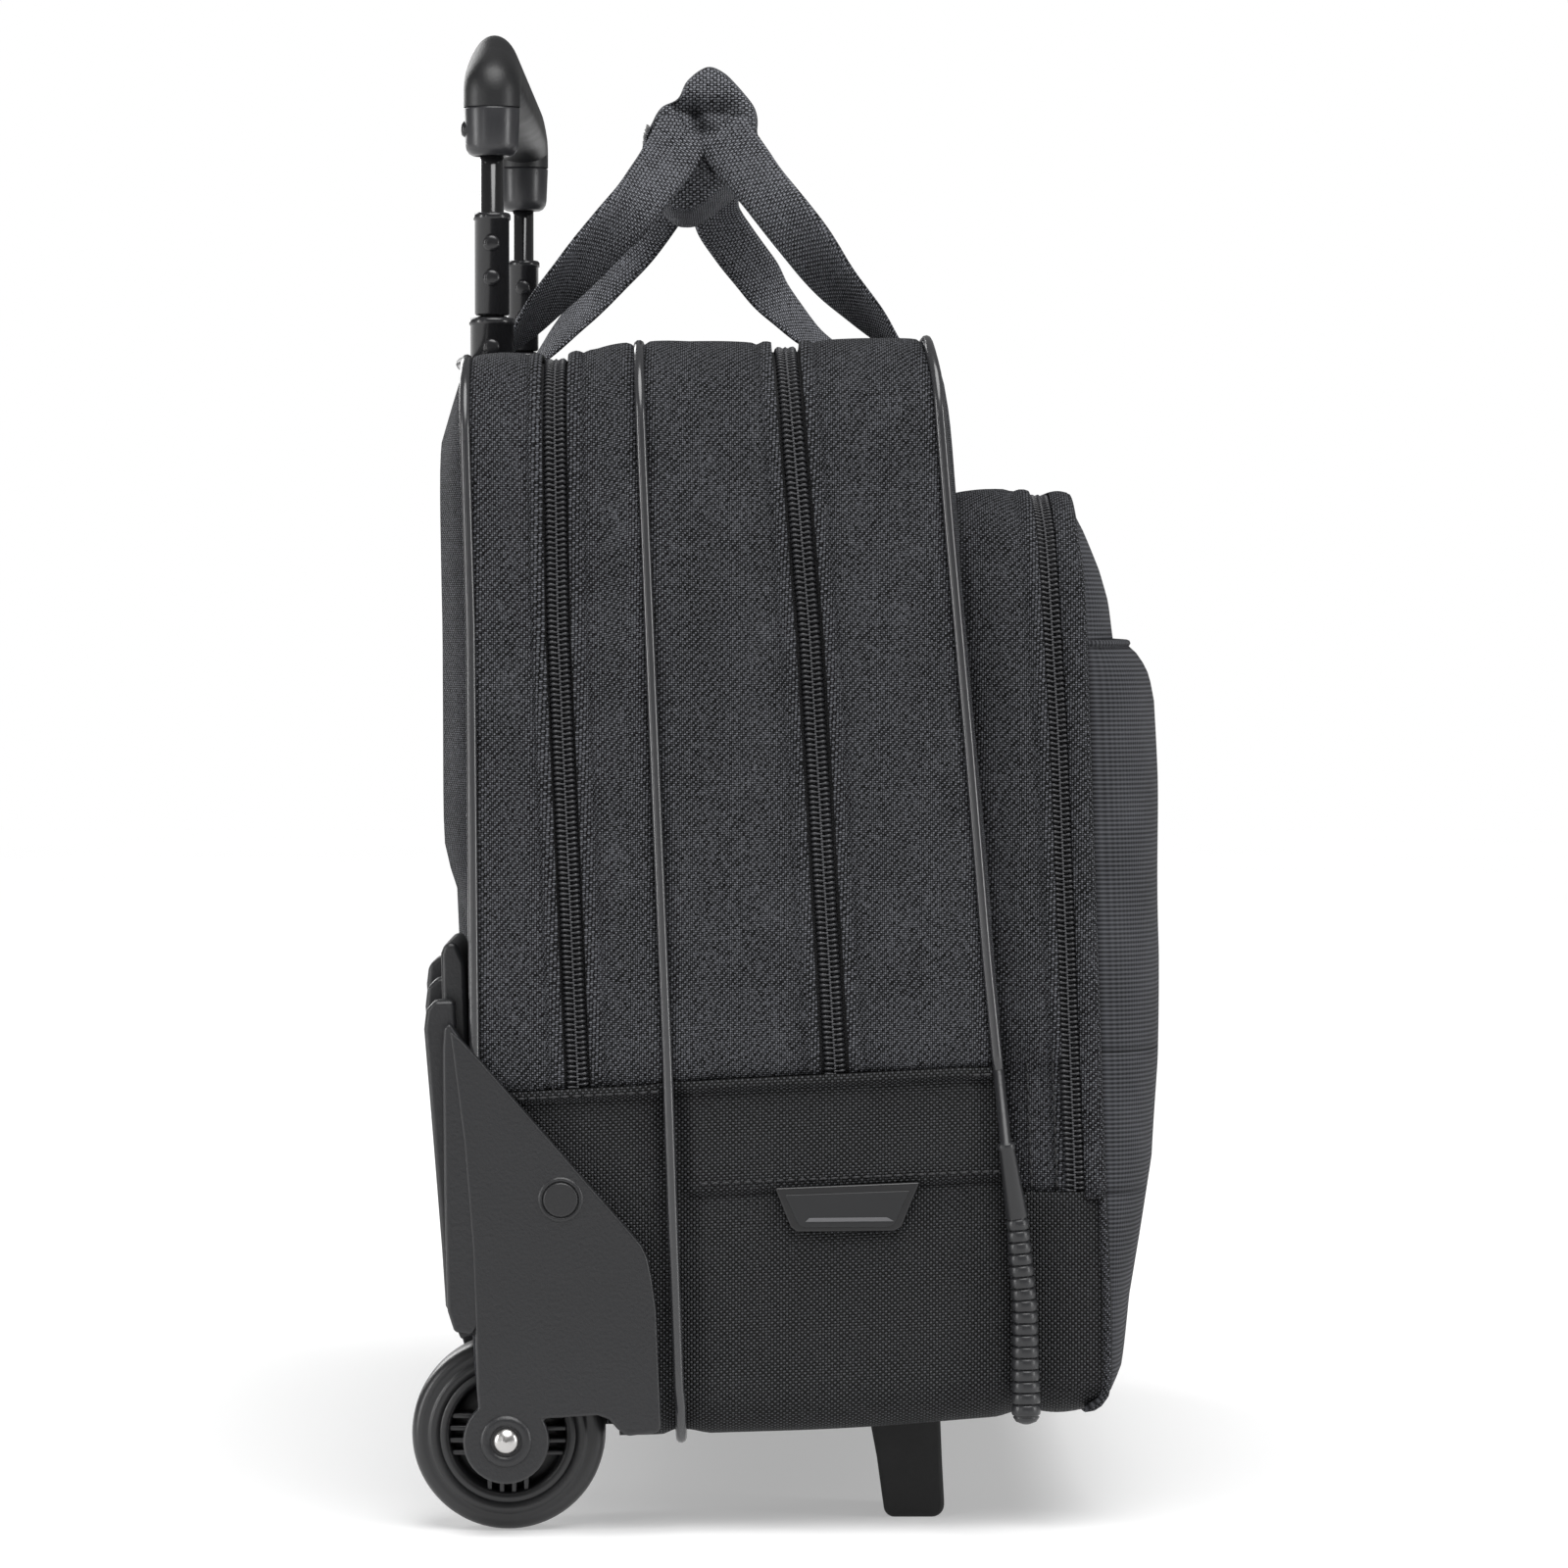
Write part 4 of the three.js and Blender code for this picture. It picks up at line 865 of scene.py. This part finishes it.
# ---- Wheels and axles ----
WHEEL_FACE_X, WHEEL_WIDTH = -205, 23.0
TYRE_HALF = [(1.2, 21), (0.5, 22), (0.35, 23.6), (0.6, 24), (1.3, 24.4), (1.5, 25), (1.3, 26),
             (1.5, 27.3), (2.3, 28.6), (3.8, 29.5), (6.5, 29.9)]
HUB_HALF = [(0.9, 21), (0.3, 20.4), (0.3, 19), (0.9, 18.3), (3.0, 17.9), (8.5, 17.3), (9.0, 16.4),
            (9.0, 10.5), (8.0, 9.6), (3.6, 9.0), (3.2, 8.3), (3.2, 4.4)]
AXLE = [(-222.6, 0.02), (-222.3, 1.6), (-221.6, 3.0), (-220.7, 3.9), (-219.6, 4.2), (-200, 4.0),
        (-177, 4.0), (-177, 0.0)]
AXLE_SEAT = [(-220.1, 4.6), (-220.7, 5.0), (-220.9, 6.4), (-220.6, 7.6), (-219.8, 8.0)]


def wheel_profile(half, middle=()):
    """A closed profile from its outer half, as (depth, radius) points from the wheel's face."""
    profile = [(WHEEL_FACE_X + x, radius) for x, radius in (*half, *middle)]
    profile += [(WHEEL_FACE_X + WHEEL_WIDTH - x, radius) for x, radius in reversed(half)]
    return profile + profile[:1]


def hub_rib(turn, shift, low_x):
    """A rib between the hub and its rim, as points and faces of a box."""
    c, s = cos(turn), sin(turn)
    reach = sqrt(18.1 ** 2 - shift ** 2)
    corners = [(AXLE_Y + c * along - s * side, AXLE_Z + s * along + c * side) for along, side in (
        (8.2, shift - 0.75), (reach, shift - 0.75), (reach, shift + 0.75), (8.2, shift + 0.75))]
    points = [(x, y, z) for x in (low_x, low_x + 8) for y, z in corners]
    return points, [(0, 1, 2, 3), (7, 6, 5, 4), (0, 4, 5, 1), (1, 5, 6, 2), (2, 6, 7, 3),
                    (3, 7, 4, 0)]


def make_wheels():
    for name, profile, steps, body, look, nodes in (
        ("tyre_ring", wheel_profile(TYRE_HALF, [(WHEEL_WIDTH / 2, 30)]), 96, "wheel_left", TYRE,
         ("tyre_left",)),
        ("hub_disc", wheel_profile(HUB_HALF), 72, "wheel_left", HUB, ("hub_left",)),
        ("axle_pin", AXLE, 40, "bag", RIVET, ("axle_left",)),
        ("axle_seat", AXLE_SEAT, 40, "bag", MOULDED, ()),
    ):
        piece = lathe(f"{name}_left", 0, profile, (0, AXLE_Y, AXLE_Z), steps)
        on_both_sides(piece, body, look, *nodes)
    ribs = many("hub_ribs_left", [
        hub_rib(pi / 2 * quarter, shift, WHEEL_FACE_X + depth) for quarter in range(4)
        for shift in (-5.7, -1.9, 1.9, 5.7) for depth in (1.6, WHEEL_WIDTH - 9.6)])
    modifier = ribs.modifiers.new("round", "BEVEL")
    modifier.width, modifier.segments = 0.35 * MM, 2
    on_both_sides(ribs, "wheel_left", HUB)


# ---- Feet ----
def make_feet():
    outline = [(-25.5, 36.6), (-48.5, 38), (-49.3, 18), (-50, 5.2),
               *arc(-46.2, 3.8, 3.8, 180, 270, 6), *arc(-34.4, 3.4, 3.4, 270, 350, 6), (-29, 18)]
    foot = prism("foot_block_left", outline, -175, -145, 1.6, 4)
    on_both_sides(foot, "bag", FOOT, "foot_left")


# ---- Telescopic handle ----
def ring_profile(low, high, radius, bore, edge=0.5):
    return [(low, bore), (low, radius - edge), (low + edge, radius), (high - edge, radius),
            (high, radius - edge), (high, bore), (low, bore)]


def flange_profile(low, high, radius, bore):
    """A collar whose top has a slightly wider rounded lip."""
    lip = radius + 0.4
    return [(low, bore), (low, radius - 0.5), (low + 0.5, radius), (high - 2.6, radius),
            (high - 2.3, lip), (high - 0.8, lip), (high - 0.2, radius - 0.1), (high, radius - 0.9),
            (high, bore), (low, bore)]


def make_handle_tubes():
    for name, body, look, low, high, radius, bore, studs in (
        ("outer_tube", "bag", TUBE, 51, 361.2, 6.4, 5.6, ()),
        ("outer_collar", "bag", COLLAR, 361.5, 377.6, 6.9, 5.6, (368,)),
        ("middle_tube", "handle_middle", TUBE, 62, 378, 5.1, 4.3, ()),
        ("middle_collar", "handle_middle", COLLAR, 378.3, 411, 5.5, 4.2, (390, 401)),
        ("inner_tube", "handle_top", TUBE, 68, 444, 3.75, 2.9, ()),
    ):
        profile = (flange_profile if studs else ring_profile)(low, high, radius, bore)
        pipe = lathe(f"{name}_pipe_left", 2, profile, (-TUBE_X, TUBE_Y, 0))
        on_both_sides(pipe, body, look, f"{name}_left")
        for index, z in enumerate(studs):
            for face, side in ((-1, "outer"), (1, "inner")):
                start = -TUBE_X + face * (radius - 0.5)
                dome = [(start + face * rise, size) for rise, size in (
                    (0, 2.7), (0.9, 2.6), (1.3, 2.1), (1.5, 1.2), (1.55, 0.02))]
                stud = lathe(f"{name}_stud_{index}_{side}_left", 0, dome, (0, TUBE_Y, z), 20)
                on_both_sides(stud, body, COLLAR)


FERRULE_PROFILE = [(430, 4.4), (429, 4.6), (428.9, 6.0), (429.5, 7.2), (430.8, 8.1), (432.5, 8.45),
                   (443.6, 8.95), (444, 8.8), (444.2, 8.3), (444.6, 8.3), (444.6, 4.4)]


def make_grip():
    """An arched bar between two ferrules: round at its ends, domed above and flat below."""
    bar_z, corner = 453.2, 9.0
    route = [(-TUBE_X, TUBE_Y, z) for z in (444.4, 446, 448)]
    for i in range(1, 11):
        turn = pi / 2 * i / 10
        route.append((-TUBE_X + corner * (1 - cos(turn)), TUBE_Y, bar_z - 4 + 4 * sin(turn)))
    route += [(float(x), TUBE_Y, bar_z) for x in np.linspace(-TUBE_X + corner + 5, 0, 18)]
    route += [(-x, y, z) for x, y, z in reversed(route[:-1])]
    section = circle(48)
    back = Vector((0, 1, 0))
    rows = []
    for centre, tangent, run in along(route):
        up = tangent.cross(back)
        if up.z < 0 or (abs(up.z) < 0.3 and up.x * centre.x < 0):
            up = -up
        bar = smooth(0.0, 1.0, (TUBE_X - abs(centre.x)) / (corner + 12))
        outer, inner, wide = 8.6 + 7.4 * bar, 8.6 - 3.6 * bar, 9.0
        rows.append([(tuple(centre + back * wide * c + up * ((outer if s > 0 else inner) * s)),
                      (30 * k / len(section), run)) for k, (c, s) in enumerate(section)])
    dress(grid("grip_bar", rows), "handle_top", GRIP, "grip")

    for side, name in SIDES:
        ferrule = lathe(f"grip_ferrule_{name}", 2, FERRULE_PROFILE, (side * TUBE_X, TUBE_Y, 0), 36)
        dress(ferrule, "handle_top", FERRULE)
        dome = lathe(f"grip_stud_{name}", 1, [(8.2, 2.6), (9.0, 2.5), (9.6, 1.9), (9.9, 0.02)],
                     (side * TUBE_X, TUBE_Y, 437.5), 20)
        dress(dome, "handle_top", (COLLAR[0], "grip"))

    near, far = TUBE_Y - 4.5, TUBE_Y + 4.5
    outline = [(near, 463), (far, 463), (far, 468.6), (near, 468.6)]
    button = prism("button_cap", outline, -15, 15, 1.2, 3)
    dress(button, "button", COLLAR, "release_button")


# ---- Carry handle ----
# Each strap as places along it: place, way its width points, width and thickness. It lies flat at
# its feet and is folded in two where it meets the grip. The rear strap's right half mirrors its
# left one; the front strap's hangs lower than its left.
FRONT_STRAP = [
    ((-100, -44, 367.5), (1, 0, 0), 34, 2.2), ((-100, -38, 370.5), (1, 0, 0), 34, 2.2),
    ((-99, -31, 377), (0.98, 0.16, -0.13), 33, 2.4),
    ((-95, -18, 390.6), (0.9, 0.34, -0.27), 28, 2.8),
    ((-87, -5.3, 407), (0.62, 0.62, -0.48), 20.5, 3.6),
    ((-77, 5.4, 421), (0.2, 0.78, -0.6), 17.5, 4.4),
    ((-68, 12.4, 430.5), (0, 0.8, -0.6), 18.5, 4.8), ((-62, 17.5, 438), (0, 0.8, -0.6), 19, 4.8),
    ((-57, 20.5, 443.5), (0, 0.8, -0.6), 19, 4.8), ((-48, 21, 445), (0, 0.78, -0.62), 18, 4.6),
    ((-40, 20, 443), (0, 0.78, -0.62), 18, 4.6), ((-15, 19, 439), (0, 0.78, -0.62), 18, 4.6),
    ((15, 19, 439), (0, 0.78, -0.62), 18, 4.6), ((40, 19.5, 437), (0, 0.78, -0.62), 18, 4.6),
    ((56, 22, 430), (0, 0.8, -0.6), 18, 4.8), ((66, 22.5, 422.5), (0, 0.8, -0.6), 17.5, 4.8),
    ((76, 16.6, 413.5), (-0.1, 0.78, -0.62), 17.5, 4.4),
    ((86, 8.5, 403.5), (-0.4, 0.72, -0.56), 18, 3.8),
    ((93, 0.5, 393.5), (-0.8, 0.48, -0.38), 21, 3.2),
    ((98, -12, 381.5), (-0.94, 0.26, -0.2), 27, 2.6),
    ((100, -26, 374), (-0.99, 0.1, -0.1), 32, 2.4), ((100, -38, 370), (-1, 0, 0), 34, 2.2),
    ((100, -44, 367.5), (-1, 0, 0), 34, 2.2),
]
REAR_STRAP = [
    ((-100, 96, 362), (1, 0, 0), 34, 2.2), ((-100, 91, 367.5), (1, 0, 0), 34, 2.2),
    ((-98, 80.6, 380), (0.97, -0.18, -0.14), 33, 2.4),
    ((-95, 69.8, 392.3), (0.92, -0.31, -0.23), 29, 2.8),
    ((-89, 58.2, 405.6), (0.78, -0.5, -0.38), 22, 3.4),
    ((-82, 49.4, 415.8), (0.5, -0.69, -0.53), 18, 4.0),
    ((-73, 42.3, 426), (0.1, -0.8, -0.6), 17.5, 4.6),
    ((-65.5, 37.5, 433.5), (0, -0.8, -0.6), 18.5, 4.8), ((-61, 34, 440), (0, -0.8, -0.6), 19, 4.8),
    ((-56, 32, 444), (0, -0.8, -0.6), 18, 4.6), ((-48, 32, 444), (0, -0.8, -0.6), 17, 4.6),
    ((-40, 33, 441), (0, -0.8, -0.6), 17, 4.6), ((-15, 33, 437), (0, -0.8, -0.6), 17, 4.6),
]
REAR_STRAP += [((-p[0], p[1], p[2]), (-s[0], s[1], s[2]), w, t) for p, s, w, t in REAR_STRAP[::-1]]


def make_strap(name, keys, body, node):
    """A band of webbing with rounded edges along its keys, slightly bowed across."""
    steps, bow_share = 170, 0.06
    places, sides, sizes = [curve_points(values, steps) for values in zip(
        *((place, side, (width, thickness, 0)) for place, side, width, thickness in keys))]
    rows, shares = [], even_shares(14)
    for (place, tangent, run), side, (width, thickness, _) in zip(along(places), sides, sizes):
        side = Vector(side)
        side = (side - tangent * side.dot(tangent)).normalized()
        normal = tangent.cross(side)
        row = []
        for face, order in ((1, shares), (-1, shares[::-1])):
            for t in order:
                bow = bow_share * (1 - t * t) * width * 0.5
                edge = face * thickness / 2 * (1 - abs(t) ** 6) ** 0.5
                row.append((tuple(place + side * t * width / 2 + normal * (bow + edge)),
                            (t * width / 2 + 30 * (1 - face), run)))
        rows.append(row)
    strap = dress(grid(name, rows), body, WEBBING, node)
    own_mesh(strap)


WRAP_MIDDLE = (26.5, 441)
WRAP_SECTION = [(25, 464.3), (19, 461.5), (12.6, 455.5), (8.6, 448), (9.5, 440), (13, 432),
                (20, 424.5), (29, 418), (36.4, 417.5), (43, 424.5), (46, 435), (45, 444),
                (40.3, 450.5), (35, 453.9), (31.8, 460)]
# Stations along the wrap and round its mouths, as (x, share of the section).
WRAP_END = [(58.5, 0.955), (56, 0.99)]
WRAP_BODY = ([(-x, share) for x, share in WRAP_END]
             + [(float(x), 1.0) for x in np.linspace(-53, 53, 28)] + WRAP_END[::-1])
WRAP_MOUTH = ([(60.5, 0.02)] + [(61.6 - 0.8 * k / 12, 0.06 + 0.78 * k / 12) for k in range(13)]
              + [(60.4, 0.88), (59.6, 0.925), (58.5, 0.955)])
WRAP_CREASES = [  # from (y, z) to (y, z), width, depth
    ((35, 450.5), (19.5, 450), 2.2, 5.0), ((29, 449), (23.5, 432), 2.4, 6.0),
    ((44, 441), (35, 446), 2.2, 3.5), ((16, 446), (20, 441), 2.0, 3.0),
]


def crease_depth(y, z):
    depth = 0.0
    for (y0, z0), (y1, z1), width, deepest in WRAP_CREASES:
        run = (y1 - y0, z1 - z0)
        share = ((y - y0) * run[0] + (z - z0) * run[1]) / (run[0] ** 2 + run[1] ** 2)
        share = min(max(share, 0.0), 1.0)
        away = hypot(y - y0 - share * run[0], z - z0 - share * run[1])
        depth += deepest * bell(away, 0, width)
    return depth


def wrap_piece(name, section, stations, mouth, *nodes):
    rows = []
    for x, share in stations:
        row = []
        for k, (_, y, z) in enumerate(section):
            fold = 0.05 * noise.noise(Vector((x / 30, y / 9, z / 9)))
            ragged = 3.0 * noise.noise(Vector((copysign(5, x), y / 11, z / 11)))
            under = -copysign(9, x) * smooth(434, 420, z)
            size = share * (1 + fold)
            y, z = [m + (place - m) * size for m, place in zip(WRAP_MIDDLE, (y, z))]
            dip = copysign(crease_depth(y, z), x) if mouth else 0.0
            out = x + (ragged + under * share) * share * smooth(40, 60, abs(x)) - dip
            row.append(((out, y, z), (y, z) if mouth else (x, 1.6 * k)))
        rows.append(row)
    return dress(grid(name, rows), "carry_grip", WEBBING, *nodes)


def make_carry_handle():
    make_strap("rear_strap_webbing", REAR_STRAP, "bag", "rear_strap")
    make_strap("front_strap_webbing", FRONT_STRAP, "front_section", "front_strap")

    count = len(WRAP_SECTION)
    around = curve_points([(0, *p) for p in WRAP_SECTION[-2:] + WRAP_SECTION + WRAP_SECTION[:3]],
                          (count + 4) * 6 + 1)
    section = around[12:12 + count * 6]
    wrap = wrap_piece("carry_grip_wrap", section, WRAP_BODY, False, "grip_wrap")
    wrap_piece("carry_grip_mouth_left", section, [(-x, share) for x, share in WRAP_MOUTH], True)
    wrap_piece("carry_grip_mouth_right", section, WRAP_MOUTH[::-1], True)

    hooks = []
    for i in range(120):
        x = -57.5 + i * 0.95
        for k in range(3):
            z = 438.5 + 2.6 * k + 0.8 * sin(i * 2.3 + k)
            y = 46.0 - 0.35 * (z - 438.5) ** 2 / 10
            hooks.append(stitch((x, y - 0.6, z), (x + 0.5, y + 0.5, z + 0.6), 0.28))
    dress(many("hook_tape_edge", hooks), "carry_grip", HOOKS)


# ---- Nodes that keep their CAD shape ----
def dress_nodes():
    for (material, _), nodes in ((LINING, ("back_board", "divider")),
                            (NICKEL, ("rear_slider", "front_slider", "pocket_slider")),
                            (BUMPER, ("rear_pull", "front_pull", "pocket_pull"))):
        for node in nodes:
            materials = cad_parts[node].data.materials
            materials.clear()
            materials.append(material)


# ---- Camera, light and floor ----
def placed(name, data, place, target):
    """A camera or lamp at a place in metres, aimed at a target."""
    obj = bpy.data.objects.new(name, data)
    bpy.context.collection.objects.link(obj)
    obj.location = place
    obj.rotation_euler = (Vector(target) - obj.location).to_track_quat("-Z", "Y").to_euler()
    return obj


def make_stage():
    scene = bpy.context.scene
    camera = bpy.data.cameras.new("camera")
    camera.lens, camera.sensor_width = 142.5, 36
    scene.camera = placed("camera", camera, (-2.115, 0.0104, 0.2838), (-0.215, 0.0005, 0.2313))

    # The camera sees a white world; the light from it is dimmer.
    scene.world = bpy.data.worlds.new("studio")
    scene.world.use_nodes = True
    tree = scene.world.node_tree
    seen, lit = tree.nodes["Background"], tree.nodes.new("ShaderNodeBackground")
    for node, strength in ((seen, 1.0), (lit, 0.2)):
        node.inputs["Color"].default_value = (1, 1, 1, 1)
        node.inputs["Strength"].default_value = strength
    mix = tree.nodes.new("ShaderNodeMixShader")
    camera_ray = tree.nodes.new("ShaderNodeLightPath").outputs["Is Camera Ray"]
    for source, target in zip((camera_ray, lit.outputs[0], seen.outputs[0]), mix.inputs):
        tree.links.new(source, target)
    tree.links.new(mix.outputs[0], tree.nodes["World Output"].inputs["Surface"])
    scene.view_settings.view_transform = "Standard"

    sky = bpy.data.lights.new("soft_sky", "SUN")
    sky.energy, sky.angle = 3.3, radians(50)
    placed("soft_sky", sky, (-1.0, -0.35, 2.4), (0, 0, 0.2))
    for name, place, width, height, power in (
        ("front_box", (-0.75, -1.9, 0.6), 0.3, 1.2, 13),
        ("back_box", (-0.75, 1.9, 0.6), 0.3, 1.2, 15),
        ("thin_strip", (-1.8, 1.25, 0.55), 0.07, 1.3, 3.2),
        ("rear_box", (1.6, 1.0, 1.0), 0.8, 1.2, 14),
    ):
        lamp = bpy.data.lights.new(name, "AREA")
        lamp.shape, lamp.size, lamp.size_y, lamp.energy = "RECTANGLE", width, height, power
        placed(name, lamp, place, (0, 0, 0.2))

    size = 6000.0
    floor = mesh("floor", [(-size, -size, 0), (size, -size, 0), (size, size, 0), (-size, size, 0)],
                 [(0, 1, 2, 3)])
    pale = Nodes("pale_floor")
    pale.paint(pale.noise(3, 2), (1, 1, 1), 0.6, 0.63)
    pale.set(Roughness=0.6, Emission_Color=(1, 1, 1, 1), Emission_Strength=0.36)
    floor.data.materials.append(pale.material)


for make in (make_sections, make_stitches, make_zippers, make_pipings, make_bumpers, make_base,
             make_panels, make_pocket, make_badge, make_housings, make_wheels, make_feet,
             make_handle_tubes, make_grip, make_carry_handle, dress_nodes, make_stage):
    make()
